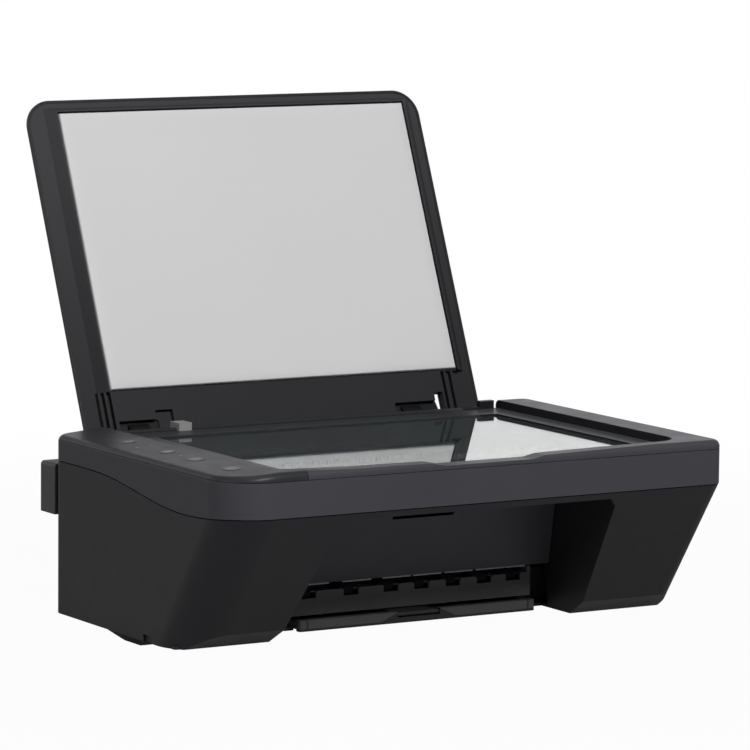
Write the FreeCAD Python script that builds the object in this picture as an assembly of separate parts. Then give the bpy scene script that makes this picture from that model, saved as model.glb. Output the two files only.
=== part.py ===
import FreeCAD, Part
import math
import os

V = FreeCAD.Vector

# An all-in-one inkjet printer with its document lid open. Millimetres, +X right, +Y to the back, +Z up.
# Every piece is drawn with y measured back from the front edge and z up from the table, and is moved by
# ORIGIN_Y on export, so that the origin is the middle of the floor area that the open printer covers.
ORIGIN_Y = 209.0

# Overall size, closed: 426 wide, 306 deep, 150 high
HALF_W = 213.0
BODY_REAR = 280.0
FULL_REAR = 306.0
BASE_Z = 4.5
WALL = 2.5
CORNER_LEFT = 36.0
CORNER_RIGHT = 11.0
CORNER_REAR = 11.0

# The sloped front of the wings: y = SLOPE_Y + SLOPE_RUN * (SLOPE_TOP - z)
SLOPE_TOP = 111.0
SLOPE_Y = 0.4
SLOPE_RUN = 0.713
CHAMFER_Z = 16.5
CHAMFER_END_Y = 88.0

# The output recess between the wings, wider towards the table
RECESS_TOP_Z = 105.6
RECESS_TOP_X = 119.0
RECESS_FLOOR_X = 133.0
RECESS_END_Y = 119.0

# The seam between main case and scanner, seen from the side: (y, z)
SEAM = [(-40, 110.8), (-10, 110.8), (6.5, 110.8), (48, 108.2), (84, 107.6), (137, 113.2), (191, 120.2),
        (225, 121.5), (260, 121.6), (300, 121.6)]
SEAM_GAP = 0.8

# Scanner levels
TUB_FLOOR = 112.0
TUB_TOP = 137.6
FRAME_Z = 138.0
BORDER_TOP = 144.5
RIM_R = 5.0
LIP_TOP = 137.9
GLASS_TOP = 136.5
GLASS_T = 2.8
BED_X0 = -171.3
BED_X1 = 184.0
BED_Y = 15.0
BED_R = 21.0
WINDOW = (-141.0, 165.0, 30.0, 249.0)
PANEL_EDGE_X = -171.7
PANEL_FRONT_X = -150.8
RAIL_Y = 274.5
RAIL_TOP = 140.0

# Document lid, drawn shut and then swung open about the hinge line
LID_HINGE_Y = 290.3
LID_HINGE_Z = 132.88
LID_OPEN = 113.2
LID_X0 = -172.8
LID_X1 = 184.2
LID_FRONT = 11.3
LID_REAR = 295.2
LID_TOP = 149.5
LID_RIM = 145.0
LID_SKIN = 2.0
LID_R = 22.0
PAD = (-146.8, 166.1, 23.8, 250.2)
PAD_FACE = 138.3
PAD_BACK = 141.8
PAD_GAP = 1.2
BAND = (-147.0, 151.6, 141.0, 292.0)
HINGE_XS = (-126.0, 120.0)
STUB_R = 2.5

# Openings at the lid's rear edge: one bay for each hinge and a slit beside the right one (x0, x1, front y)
BAYS = ((-144.0, -108.0, 275.2), (104.0, 143.0, 275.2), (142.0, 150.0, 268.4))

# Hinge leaves: left edge, and right edge in front and at the rear
LEAVES = ((-143.7, -108.3, -108.3), (104.3, 141.6, 149.9))

# The clip beside the left hinge
CLIP_X0 = -109.0
CLIP_X1 = -98.0
CLIP_TOP = 143.9

# Front cover, from its lower edge to its upper edge: (y, z)
COVER_LOW = (110.0, 41.0)
COVER_HIGH = (86.8, 104.0)
COVER_T = 2.5
COVER_PIN = (112.6, 43.6)
COVER_PIN_R = 2.0

# Output tray
TRAY_HALF = 103.6
TRAY_Y0 = 92.5
TRAY_Y1 = 208.0
TRAY_Z0 = 10.0
TRAY_Z1 = 12.6
FLAP_HALF = 18.0
FLAP_PIN = (95.5, 14.7)
FLAP_LEN = 18.0

# Rear tray
HUMP_Z0 = 79.0
HUMP_Z1 = 118.0
SUPPORT_PIN = (304.2, 112.0)

# Paper path: roller axes (y, z)
EJECT = (128.0, 31.0)
EJECT_R = 6.5
FEED = (176.5, 32.8)
FEED_R = 5.0
PINCH = (177.5, 41.8)
PINCH_R = 3.4
STAR = (128.0, 42.2)
STAR_R = 4.2
PICKUP = (258.0, 54.8)
PICKUP_R = 14.0
EXIT_XS = (-84.0, -47.0, -12.0, 15.0, 43.0, 71.0, 97.0)
GUIDE_TOP = 33.7

# Gear train on the left, module and tooth counts
MODULE = 0.8
FEED_T = 26
IDLER_T = 32
EJECT_T = 34
PINION_T = 14
GEAR_X0 = -190.0
GEAR_X1 = -184.0

# Carriage at home on the right
CARRIAGE_X0 = 107.0
CARRIAGE_W = 100.0
BELT_X = 188.0
BELT_Z = 72.0
PULLEY_R = 5.0

# Scan bar parked at the left, with its pinion on the tub's rack
SCAN_X = -169.0
SCAN_ROD = (150.0, 118.0)
RACK_M = 1.0
RACK_T = 15
SCAN_PINION_Y = 178.0

# Buttons on the operation panel: name, y, half length along y
BUTTON_X = -189.0
BUTTONS = {"power_button": (203.0, 6.0), "stop_button": (142.0, 6.0), "black_button": (99.0, 8.0),
           "color_button": (45.0, 8.0)}
BUTTON_R = 6.0
LAMPS = ((-195.0, 178.0), (-183.0, 178.0), (-189.0, 121.0))


def box(x0, x1, y0, y1, z0, z1):
    return Part.makeBox(x1 - x0, y1 - y0, z1 - z0, V(x0, y0, z0))


def cyl_x(x0, x1, y, z, r):
    return Part.makeCylinder(r, x1 - x0, V(x0, y, z), V(1, 0, 0))


def cyl_y(x, y0, y1, z, r):
    return Part.makeCylinder(r, y1 - y0, V(x, y0, z), V(0, 1, 0))


def cyl_z(x, y, z0, z1, r):
    return Part.makeCylinder(r, z1 - z0, V(x, y, z0), V(0, 0, 1))


def polygon(points):
    """A face inside the closed line through the points."""
    return Part.Face(Part.makePolygon(points + [points[0]]))


def prism_x(yz, x0, x1):
    return polygon([V(x0, y, z) for y, z in yz]).extrude(V(x1 - x0, 0, 0))


def prism_y(xz, y0, y1):
    return polygon([V(x, y0, z) for x, z in xz]).extrude(V(0, y1 - y0, 0))


def prism_z(xy, z0, z1):
    return polygon([V(x, y, z0) for x, y in xy]).extrude(V(0, 0, z1 - z0))


def join(first, *others):
    return first.fuse(list(others)).removeSplitter()


def outline(x0, x1, y0, y1, z, r_fl, r_fr, r_rr, r_rl):
    """A rectangle seen from above. Its corner radii run from front left past the right side to rear left."""
    s = math.sqrt(0.5)
    corners = ((x0, y0, 1, 1, r_fl), (x1, y0, -1, 1, r_fr), (x1, y1, -1, -1, r_rr), (x0, y1, 1, -1, r_rl))
    edges = []
    ends = []
    for i, (x, y, sx, sy, r) in enumerate(corners):
        along_y = V(x, y + sy * r, z)
        along_x = V(x + sx * r, y, z)
        a, b = (along_y, along_x) if i % 2 == 0 else (along_x, along_y)
        ends.append((a, b))
        middle = V(x + sx * r * (1 - s), y + sy * r * (1 - s), z)
        edges.append(Part.Arc(a, middle, b).toShape())
    for i in range(4):
        edges.append(Part.LineSegment(ends[i][1], ends[(i + 1) % 4][0]).toShape())
    return Part.Face(Part.Wire(Part.__sortEdges__(edges)))


def slab(x0, x1, y0, y1, z0, z1, r_fl, r_fr, r_rr, r_rl):
    return outline(x0, x1, y0, y1, z0, r_fl, r_fr, r_rr, r_rl).extrude(V(0, 0, z1 - z0))


def body_slab(inset, z0, z1):
    """The body's plan, drawn in by the inset all round, between two heights."""
    radii = [max(r - inset, 1.0) for r in (CORNER_LEFT, CORNER_RIGHT, CORNER_REAR, CORNER_REAR)]
    return slab(inset - HALF_W, HALF_W - inset, inset, BODY_REAR - inset, z0, z1, *radii)


def edges_at(shape, test):
    return [e for e in shape.Edges if test(e.BoundBox, e)]


def fillet_top(shape, radius, z):
    """Rounds every edge that lies flat at height z."""
    rim = edges_at(shape, lambda b, e: abs(b.ZMin - z) < 1e-4 and abs(b.ZMax - z) < 1e-4)
    return shape.makeFillet(radius, rim)


def above_seam(shift):
    """The space over the seam's curve, which is swept across the whole width."""
    curve = Part.BSplineCurve()
    points = [V(-230, y, z + shift) for y, z in SEAM]
    curve.interpolate(points)
    high = 200
    top = [points[-1], V(-230, points[-1].y, high), V(-230, points[0].y, high), points[0]]
    lines = [Part.LineSegment(a, b).toShape() for a, b in zip(top, top[1:])]
    return Part.Face(Part.Wire([curve.toShape()] + lines)).extrude(V(460, 0, 0))


def slope_y(z):
    return SLOPE_Y + SLOPE_RUN * (SLOPE_TOP - z)


def recess_x(z):
    """Half the recess width at a height."""
    return RECESS_FLOOR_X + (RECESS_TOP_X - RECESS_FLOOR_X) * z / RECESS_TOP_Z


def gear_points(teeth, module, phase):
    """A spur gear's outline with straight flanks; phase is the angle of one tooth's middle in radians."""
    pitch_r = teeth * module / 2
    tip_r = pitch_r + 0.8 * module
    root_r = pitch_r - 1.15 * module
    half = 0.43 * math.pi * module / 2
    tip_a = (half - 0.8 * module * math.tan(math.radians(20))) / tip_r
    root_a = (half + 1.0 * module * math.tan(math.radians(20))) / root_r
    points = []
    for k in range(teeth):
        a = phase + 2 * math.pi * k / teeth
        for r, da in ((root_r, -root_a), (tip_r, -tip_a), (tip_r, tip_a), (root_r, root_a)):
            points.append((r * math.cos(a + da), r * math.sin(a + da)))
    return points


def gear_x(teeth, axis, phase, bore):
    yz = [(axis[0] + u, axis[1] + v) for u, v in gear_points(teeth, MODULE, phase)]
    disc = prism_x(yz, GEAR_X0, GEAR_X1)
    return disc.cut(cyl_x(GEAR_X0 - 1, GEAR_X1 + 1, axis[0], axis[1], bore))


def meshed(phase, teeth, axis, other_teeth, other_axis):
    """The phase at which the other gear's gap takes this gear's tooth."""
    line = math.atan2(other_axis[1] - axis[1], other_axis[0] - axis[0])
    offset = (phase - line) / (2 * math.pi / teeth)
    return line + math.pi + (0.5 - offset) * 2 * math.pi / other_teeth


def third_corner(a, b, from_a, from_b):
    """The point below the line a to b at the two given distances."""
    run = math.hypot(b[0] - a[0], b[1] - a[1])
    along = (from_a ** 2 - from_b ** 2 + run ** 2) / (2 * run)
    off = math.sqrt(from_a ** 2 - along ** 2)
    u = ((b[0] - a[0]) / run, (b[1] - a[1]) / run)
    side = (u[1], -u[0]) if u[0] > 0 else (-u[1], u[0])
    return (a[0] + along * u[0] + off * side[0], a[1] + along * u[1] + off * side[1])


def gear_layout():
    """Axes and phases of the idler and the motor pinion, which mesh with the feed and eject gears."""
    half = MODULE / 2
    idler = third_corner(EJECT, FEED, half * (EJECT_T + IDLER_T), half * (IDLER_T + FEED_T))
    reach = half * (FEED_T + PINION_T)
    lean = math.radians(-35)
    pinion = (FEED[0] + reach * math.cos(lean), FEED[1] + reach * math.sin(lean))
    idler_phase = meshed(0.0, FEED_T, FEED, IDLER_T, idler)
    eject_phase = meshed(idler_phase, IDLER_T, idler, EJECT_T, EJECT)
    pinion_phase = meshed(0.0, FEED_T, FEED, PINION_T, pinion)
    return {"idler": (idler, idler_phase), "eject": (EJECT, eject_phase), "pinion": (pinion, pinion_phase)}


# Case

def case_solid(inset):
    """The main case as a full block: upright sides, and a front that slopes back with its corners rounded."""
    rise = SLOPE_TOP + 12
    front = SLOPE_Y - SLOPE_RUN * 12 + inset * math.hypot(1, SLOPE_RUN)
    x = HALF_W - inset
    plan = outline(-x, x, front, 420, rise, CORNER_LEFT - inset, CORNER_RIGHT - inset, 5, 5)
    leaning = plan.extrude(V(0, SLOPE_RUN * (rise + 20), -rise - 20))
    rear = slab(-x, x, -60, BODY_REAR - inset, -10, 140, 2, 2, CORNER_REAR - inset, CORNER_REAR - inset)
    block = leaning.common(rear)
    knee = (slope_y(CHAMFER_Z), CHAMFER_Z)
    foot = (CHAMFER_END_Y, BASE_Z)
    length = math.hypot(foot[0] - knee[0], foot[1] - knee[1])
    n = ((knee[1] - foot[1]) / length * inset, (foot[0] - knee[0]) / length * inset)
    run = ((foot[0] - knee[0]) / length, (foot[1] - knee[1]) / length)
    a = (knee[0] + n[0] - 60 * run[0], knee[1] + n[1] - 60 * run[1])
    b = (foot[0] + n[0] + 60 * run[0], foot[1] + n[1] + 60 * run[1])
    return block.cut(prism_x([a, b, (b[0] - 200, b[1] - 200), (a[0] - 200, a[1])], -300, 300))


def main_case():
    """Moulded outer case: sides, rear wall, two hollow wings and the ceiling of the output recess."""
    outer = case_solid(0).common(box(-300, 300, -50, 400, BASE_Z, 140))
    inner = case_solid(WALL)
    shell = outer.cut(inner)
    deep = RECESS_END_Y
    top = RECESS_TOP_Z
    for side in (-1, 1):
        x_top = RECESS_TOP_X
        x_low = recess_x(0)
        wall = prism_y([(side * x_low, 0), (side * (x_low + WALL), 0), (side * (x_top + WALL), top + 2),
                        (side * x_top, top + 2)], -20, deep)
        shell = shell.fuse(wall.common(outer))
    ceiling = box(-RECESS_TOP_X - 1, RECESS_TOP_X + 1, 3, 92, top - 0.5, top + 1.9)
    shell = shell.fuse(ceiling.common(outer))
    r = 6.0
    low = recess_x(-5)
    side_run = (low - RECESS_TOP_X) / (top + 5)
    shoulder = RECESS_TOP_X + side_run * r
    crown = RECESS_TOP_X - r * 0.9
    channel = prism_y([(-low, -5), (low, -5), (shoulder, top - r), (crown, top), (-crown, top),
                       (-shoulder, top - r)], -60, 126)
    case = shell.cut(channel).cut(above_seam(-SEAM_GAP / 2))
    for x, y in SCREWS:
        tower = cyl_z(x, y, BASE_Z + 2.9, 30, 4.5)
        x0, x1 = sorted((x, math.copysign(211, x)))
        reach = box(x0, x1, y - 1.5, y + 1.5, BASE_Z + 2.9, 28)
        case = case.fuse(tower.fuse(reach)).cut(cyl_z(x, y, 0, 24, 1.55))
    cuts = [box(-210.2, 210.2, 90.4, 277.2, 0, BASE_Z + 2.5),
            box(-116, 116, BODY_REAR - 5, BODY_REAR + 5, 24, 112),
            box(-172, -158, BODY_REAR - 5, BODY_REAR + 5, 43, 56),
            box(154.8, 177.2, BODY_REAR - 5, BODY_REAR + 5, 19.8, 34.2),
            box(-215, -211.2, 121, 134, 0, 10)]
    for side in (-1, 1):
        x0, x1 = sorted((side * 126, side * 134))
        cuts.append(cyl_x(x0, x1, *COVER_PIN, COVER_PIN_R + 0.08))
    return case.cut(cuts).removeSplitter()


SCREWS = [(side * 200, y) for side in (-1, 1) for y in (112, 186, 262)]


def base_pan():
    """Flat moulded floor with the output tray's two runners and counterbored screw holes."""
    pan = slab(-209.8, 209.8, 91, 276.8, BASE_Z, BASE_Z + 2.5, 2, 2, 8, 8)
    pan = pan.cut(box(-132.4, 132.4, 80, 128, 0, 20))
    for side in (-1, 1):
        runner = prism_y([(side * 99, 7), (side * 106.8, 7), (side * 106.8, 14.8), (side * 101, 14.8),
                          (side * 101, 13.2), (side * 104.4, 13.2), (side * 104.4, 9.6), (side * 99, 9.6)],
                          110, 211)
        pan = pan.fuse(runner)
    for i in range(6):
        y = 130 + i * 17
        pan = pan.fuse(box(-96, 96, y, y + 1.6, 6.8, 8.8))
    for x, y in SCREWS:
        pan = pan.cut(cyl_z(x, y, 0, 12, 1.7)).cut(cyl_z(x, y, 0, BASE_Z + 1.2, 3.3))
    return pan.removeSplitter()


def case_screws():
    """Pan-head screws from below, through the pan into the case's posts."""
    pieces = []
    for x, y in SCREWS:
        head = cyl_z(x, y, BASE_Z - 0.6, BASE_Z + 1.2, 3.0)
        shank = cyl_z(x, y, BASE_Z + 1.0, 20, 1.5)
        slot = join(box(x - 1.8, x + 1.8, y - 0.4, y + 0.4, 0, BASE_Z + 0.3),
                    box(x - 0.4, x + 0.4, y - 1.8, y + 1.8, 0, BASE_Z + 0.3))
        pieces.append(join(head, shank).cut(slot))
    return Part.makeCompound(pieces)


def rubber_feet():
    """Two pads under the wings, two skids along the sides and two pads at the back."""
    pads = []
    for side in (-1, 1):
        front = cyl_z(side * 170, 140, 0, BASE_Z, 9)
        rear = cyl_z(side * 176, 244, 0, BASE_Z, 9)
        x0, x1 = sorted((side * 194.5, side * 211.5))
        skid = prism_x([(128, BASE_Z), (141, 0), (166, 0), (198, BASE_Z)], x0, x1)
        for pad in (front, rear):
            pads.append(pad.makeFillet(1.2, edges_at(pad, lambda b, e: b.ZMax < 0.01)))
        pads.append(skid.cut(cyl_z(side * 200, 186, -1, BASE_Z + 1, 4.2)))
    return Part.makeCompound(pads)


# Scanner

def scanner_tub():
    """Scanner lower housing: skirt over the swept seam, floor and the toothed rack for the scan bar."""
    skirt = body_slab(0, 100, TUB_TOP).cut(body_slab(WALL, 99, TUB_TOP + 1)).common(above_seam(SEAM_GAP / 2))
    tub = body_slab(3.2, TUB_FLOOR, TUB_TOP).cut(body_slab(4.6, TUB_FLOOR + 2.2, TUB_TOP + 1))
    ring = body_slab(2.0, 123, TUB_TOP).cut(body_slab(4.6, 122, TUB_TOP + 1))
    pitch = math.pi * RACK_M
    line = SCAN_PINION_Y + RACK_M * RACK_T / 2
    half = 0.43 * pitch / 2
    lean = math.tan(math.radians(20))
    root, tip = half + lean * RACK_M, half - 0.8 * lean * RACK_M
    count = 116
    points = []
    for k in range(count):
        x = SCAN_X + (k - 3.5) * pitch
        points += [(x - root, line + RACK_M), (x - tip, line - 0.8 * RACK_M), (x + tip, line - 0.8 * RACK_M),
                   (x + root, line + RACK_M)]
    points += [(points[-1][0], line + 4), (points[0][0], line + 4)]
    rack = prism_z(points, TUB_FLOOR + 2.0, TUB_FLOOR + 6.5)
    posts = [box(x - 2, x + 2, SCAN_ROD[0] - 5, SCAN_ROD[0] + 5, TUB_FLOOR + 2.0, SCAN_ROD[1] + 4.5)
             for x in (-203, 203)]
    whole = skirt.fuse([tub, ring, rack] + posts)
    whole = whole.cut(box(BED_X0 - 2.2, BED_X1 + 2.2, 270, 290, LIP_TOP - 1.4, 150))
    whole = whole.cut(cyl_x(-206, 206, SCAN_ROD[0], SCAN_ROD[1], 3.0)).common(crown())
    return whole.removeSplitter()


def bed_slab(outset, z0, z1):
    """The lid's well seen from above, open at the back."""
    r = BED_R + outset
    return slab(BED_X0 - outset, BED_X1 + outset, BED_Y - outset, BODY_REAR + 20, z0, z1, r, r, 1, 1)


def panel_top(x):
    """Height of the operation panel, which falls towards the outer side."""
    return BORDER_TOP - (PANEL_EDGE_X - x) * 0.085


def crown():
    """The whole body with its top: level, sloped down along the operation panel, and rounded at the outer edge."""
    left, right, high = -260.0, 260.0, 220.0
    above = prism_y([(left, panel_top(left)), (PANEL_EDGE_X, BORDER_TOP), (right, BORDER_TOP), (right, high),
                     (left, high)], -20, 400)
    block = body_slab(0, 90, 200).cut(above)
    lowest = panel_top(-HALF_W) - 0.5
    rim = edges_at(block, lambda b, e: b.ZMin > lowest and not (b.XLength < 0.01 and b.XMax < PANEL_EDGE_X + 0.1
                                                                and b.XMin > PANEL_EDGE_X - 0.1))
    return block.makeFillet(RIM_R, rim)


def scanner_top():
    """Top frame: front strip with a finger dip, right border, well walls, lip round the glass, rear rail."""
    well = bed_slab(0, 120, 150)
    top = crown().common(box(-300, 300, -10, 400, FRAME_Z, 150)).cut(well)
    top = top.cut(box(-300, PANEL_EDGE_X + 0.6, -10, 400, 120, 160))
    top = top.cut(box(-300, PANEL_FRONT_X + 0.4, -10, BED_Y, 120, 160))
    inside = body_slab(0.5, 120, 150)
    walls = bed_slab(2.0, LIP_TOP - 1.2, FRAME_Z + 0.5).cut(well).common(body_slab(5, 120, 150))
    lip = bed_slab(2.0, LIP_TOP - 1.2, LIP_TOP).common(inside)
    lip = lip.cut(slab(*WINDOW, 120, 140, 3, 3, 3, 3))
    foot, back = LIP_TOP - 0.5, RAIL_Y + 5
    rail = prism_x([(RAIL_Y, foot), (back, foot), (back, RAIL_TOP), (RAIL_Y + 1.2, RAIL_TOP),
                    (RAIL_Y, RAIL_TOP - 1.2)], -165, 175.5)
    rail = rail.cut(box(CLIP_X0 - 0.4, CLIP_X1 + 0.4, 270, 290, 130, 150))
    stop = box(166, 179, RAIL_Y, back, foot, BORDER_TOP + 0.2)
    over, dip_z, shelf_z = BORDER_TOP + 1, BORDER_TOP - 3.6, BORDER_TOP - 1.4
    dip = prism_y([(-149, over), (-149, BORDER_TOP), (-110, shelf_z + 0.3), (-46, shelf_z), (-35, dip_z),
                   (41, dip_z), (52, shelf_z), (105, shelf_z + 0.8), (150, BORDER_TOP), (150, over)],
                  -10, BED_Y + 1)
    walls = walls.cut(box(-300, PANEL_FRONT_X + 0.4, -10, 400, FRAME_Z - 0.2, 160))
    return top.fuse([walls, lip, rail, stop]).cut(dip).removeSplitter()


def platen_glass():
    x0, x1, y0, y1 = WINDOW
    return slab(x0 - 5, x1 + 5, y0 - 5, y1 + 5, GLASS_TOP - GLASS_T, GLASS_TOP, 2, 2, 2, 2)


def button_slab(y, half, grow, z0, z1):
    """A button's outline from above: a disc, or two half discs joined along y."""
    r = BUTTON_R + grow
    run = half - BUTTON_R
    if run < 0.1:
        return cyl_z(BUTTON_X, y, z0, z1, r)
    ends = [cyl_z(BUTTON_X, y + s * run, z0, z1, r) for s in (-1, 1)]
    return join(box(BUTTON_X - r, BUTTON_X + r, y - run, y + run, z0, z1), *ends)


def operation_panel():
    """Left part of the scanner's top, from the back round the front corner."""
    side = box(-300, PANEL_EDGE_X, -10, 400, FRAME_Z, 150)
    end = box(PANEL_EDGE_X - 5, PANEL_FRONT_X, -10, BED_Y - 0.3, FRAME_Z, 150)
    blank = crown().common(join(side, end)).cut(bed_slab(0.4, 120, 150))
    under = prism_y([(-209, FRAME_Z - 1), (-174.5, FRAME_Z - 1), (-174.5, panel_top(-174.5) - 2.4),
                     (-209, panel_top(-209) - 2.4)], 32, 277)
    panel = blank.cut(under)
    for y, half in BUTTONS.values():
        panel = panel.cut(button_slab(y, half, 0.35, 130, 150))
    for x, y in LAMPS:
        panel = panel.cut(cyl_z(x, y, 130, 150, 1.3))
    return panel.removeSplitter()


def button(name):
    """Key cap with a collar under the panel and a stem over its switch."""
    y, half = BUTTONS[name]
    crown = panel_top(BUTTON_X)
    cap = button_slab(y, half, 0, FRAME_Z + 0.4, crown + 3)
    far = 30.0
    lift = 0.35
    cap = cap.cut(prism_y([(BUTTON_X + far, panel_top(BUTTON_X + far) + lift),
                           (BUTTON_X - far, panel_top(BUTTON_X - far) + lift), (BUTTON_X - far, 170),
                           (BUTTON_X + far, 170)], 0, 300))
    cap = cap.makeFillet(0.3, edges_at(cap, lambda b, e: b.ZMin > crown - 0.5))
    collar = button_slab(y, half, 1.4, FRAME_Z - 1.2, FRAME_Z + 0.5)
    stem = cyl_z(BUTTON_X, y, 134.6, FRAME_Z - 1, 2.5)
    return join(cap, collar, stem)


def panel_board():
    """Circuit board under the panel: a switch under each key and a lamp in each hole."""
    board = box(-206, -175, 36, 228, 128.4, 130.0)
    bits = []
    for y, _ in BUTTONS.values():
        bits.append(box(BUTTON_X - 3, BUTTON_X + 3, y - 3, y + 3, 130.0, 133.0))
        bits.append(cyl_z(BUTTON_X, y, 132.8, 133.7, 1.7))
    for x, y in LAMPS:
        bits.append(cyl_z(x, y, 129.8, panel_top(x) - 0.1, 1.15))
    bits.append(box(-203, -193, 70, 80, 130.0, 133.5))
    bits.append(box(-204, -190, 218, 226, 130.0, 135.0))
    return join(board, *bits)


def scan_rod():
    return cyl_x(-206, 206, SCAN_ROD[0], SCAN_ROD[1], 3.0)


def scan_bar():
    """Contact sensor across the bed, on a slider that runs along the rod."""
    x0, x1 = SCAN_X - 9, SCAN_X + 9
    bar = box(x0, x1, 21, 262, 121.4, 124.6)
    bar = bar.fuse(box(SCAN_X - 5, SCAN_X + 5, 28, 251, 124.4, GLASS_TOP - GLASS_T - 0.5))
    slider = box(x0, x1, 142, 158, 114.8, 121.6)
    shelf = box(x0, x1, 158, 187, 120.2, 121.6)
    bush = cyl_x(x0 - 1, x1 + 1, SCAN_ROD[0], SCAN_ROD[1], 3.05)
    pivot = cyl_z(SCAN_X, SCAN_PINION_Y, 115.2, 120.4, 1.5)
    return join(bar, slider, shelf, pivot).cut(bush)


def scan_motor():
    """Flat motor that rides on the slider beside the pinion."""
    can = box(SCAN_X - 8, SCAN_X + 8, 159, 169.5, 114.9, 120.2)
    return can.makeFillet(0.8, edges_at(can, lambda b, e: b.ZLength > 4))


def scan_pinion():
    points = [(SCAN_X + u, SCAN_PINION_Y + v) for u, v in gear_points(RACK_T, RACK_M, math.pi / 2)]
    return prism_z(points, 115.0, 118.2).cut(cyl_z(SCAN_X, SCAN_PINION_Y, 114, 120, 1.55))


# Document lid

def opened(shape):
    shape.rotate(V(0, LID_HINGE_Y, LID_HINGE_Z), V(1, 0, 0), -LID_OPEN)
    return shape


def lid_slab(inset, z0, z1, rear):
    r = LID_R - inset
    return slab(LID_X0 + inset, LID_X1 - inset, LID_FRONT + inset, rear, z0, z1, r, r, 1, 1)


def hinge_bays(grow, ahead, z0, z1):
    """Blocks over the openings at the lid's rear edge, wider by grow at each side and longer by ahead in front."""
    return [box(x0 - grow, x1 + grow, y0 - ahead, LID_REAR + 5, z0, z1) for x0, x1, y0 in BAYS]


def lid_cover():
    """Outer shell of the lid: crowned skin, three side walls, and a bay at the back for each hinge."""
    block = lid_slab(0, LID_RIM, LID_TOP, LID_REAR)
    block = fillet_top(block, 3.0, LID_TOP)
    inside = lid_slab(2.2, LID_RIM - 1, LID_TOP - LID_SKIN, LID_REAR + 20)
    return opened(block.cut([inside] + hinge_bays(0, 0, 120, 160)).removeSplitter())


def raised_frame():
    """The part of the liner that drops into the well, with sloped front and sides."""
    near, side_far, front_far = 2.2, 9.5, 6.0
    low, high, top = PAD_FACE + 0.7, LID_RIM + 0.2, LID_RIM + 1.4
    rear = PAD[3] + PAD_GAP
    x0, x1, y0 = PAD[:3]
    across = prism_y([(x0 - side_far, top), (x0 - side_far, high), (x0 - near, low), (x1 + near, low),
                      (x1 + side_far, high), (x1 + side_far, top)], 0, rear)
    along = prism_x([(y0 - front_far, top), (y0 - front_far, high), (y0 - near, low), (rear, low),
                     (rear, top)], -300, 300)
    hollow = box(x0 - 4, x1 + 4, y0 - 2, rear - 1.8, PAD_BACK + 1.6, top + 1)
    frame = across.common(along).common(bed_slab(-0.8, PAD_FACE, LID_TOP))
    return frame.common(lid_slab(2.4, PAD_FACE, LID_TOP, rear)).cut(hollow)


def rear_band():
    """Plain band of the liner behind the pad, cut away for the hinges and stepped back over the clip."""
    x0, x1, face, rear = BAND
    front = PAD[3] + PAD_GAP
    back = face + 1.8
    plate = prism_x([(front - 1.6, face + 1), (front, face + 1), (front, face), (rear, face), (rear, back),
                     (front - 1.6, back)], x0, x1)
    ends = [box(x, x + 1.8, front - 1, rear, face, LID_RIM + 1) for x in (x0, x1 - 1.8)]
    reach = box(x0, x1, front, rear, face, LID_RIM + 0.4)
    bay_walls = [bay.common(reach) for bay in hinge_bays(1.6, 1.6, 130, 150)]
    step = box(CLIP_X0 - 4, CLIP_X1 + 4, 266.4, rear, face, LID_RIM + 0.4)
    whole = join(plate, step, *ends, *bay_walls)
    relief = box(CLIP_X0 - 2, CLIP_X1 + 2, 268, rear + 1, 130, CLIP_TOP + 0.5)
    return whole.cut(hinge_bays(0, 0, 130, 160) + [relief])


def lid_liner():
    """Inner panel of the lid: flange inside the rim, raised frame round the pad, rear band and end ribs."""
    inner = LID_TOP - LID_SKIN
    flange = lid_slab(2.4, LID_RIM + 0.2, LID_RIM + 1.4, LID_REAR - 1)
    flange = flange.cut([box(PAD[0], PAD[1], PAD[2], PAD[3], LID_RIM - 1, LID_TOP)]
                        + hinge_bays(0.3, 11.9, LID_RIM - 1, LID_TOP))
    seat = box(PAD[0] - PAD_GAP, PAD[1] + PAD_GAP, PAD[2] - PAD_GAP, PAD[3] + PAD_GAP, PAD_FACE - 1, PAD_BACK)
    ribs = [box(x, x + 2, PAD[3] + PAD_GAP - 0.5, BAND[3], BAND[2], inner)
            for x in (-158, -152.6, 154.6, 161.0)]
    return opened(raised_frame().cut(seat).fuse([flange, rear_band()] + ribs).removeSplitter())


def lid_pad():
    """Pale pressing sheet on its foam."""
    return opened(slab(*PAD, PAD_FACE, PAD_BACK, 1.5, 1.5, 1.5, 1.5))


def lid_hinges():
    """Two hinge arms: a leaf under the skin, an arm and a barrel with stub axles."""
    arms = []
    under = LID_TOP - LID_SKIN
    y, z = LID_HINGE_Y, LID_HINGE_Z
    front, rear = y - 26, LID_REAR + 2
    for x, (x0, x1, x2) in zip(HINGE_XS, LEAVES):
        corners = ((x0, front), (x1, front), (x2, rear), (x0, rear))
        leaf = polygon([V(*corner, under - 1.8) for corner in corners]).extrude(V(0, 0, 1.8))
        web = prism_x([(y - 4, z), (y + 4, z), (y + 4, under - 1.5), (y - 13.5, under - 1.5), (y - 4, z + 3.9)],
                      x - 9, x + 9)
        barrel = cyl_x(x - 9, x + 9, y, z, 5.0)
        axle = cyl_x(x - 12.8, x + 12.8, LID_HINGE_Y, LID_HINGE_Z, STUB_R)
        arms.append(opened(join(leaf, web, barrel, axle)))
    return Part.makeCompound(arms)


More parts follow.
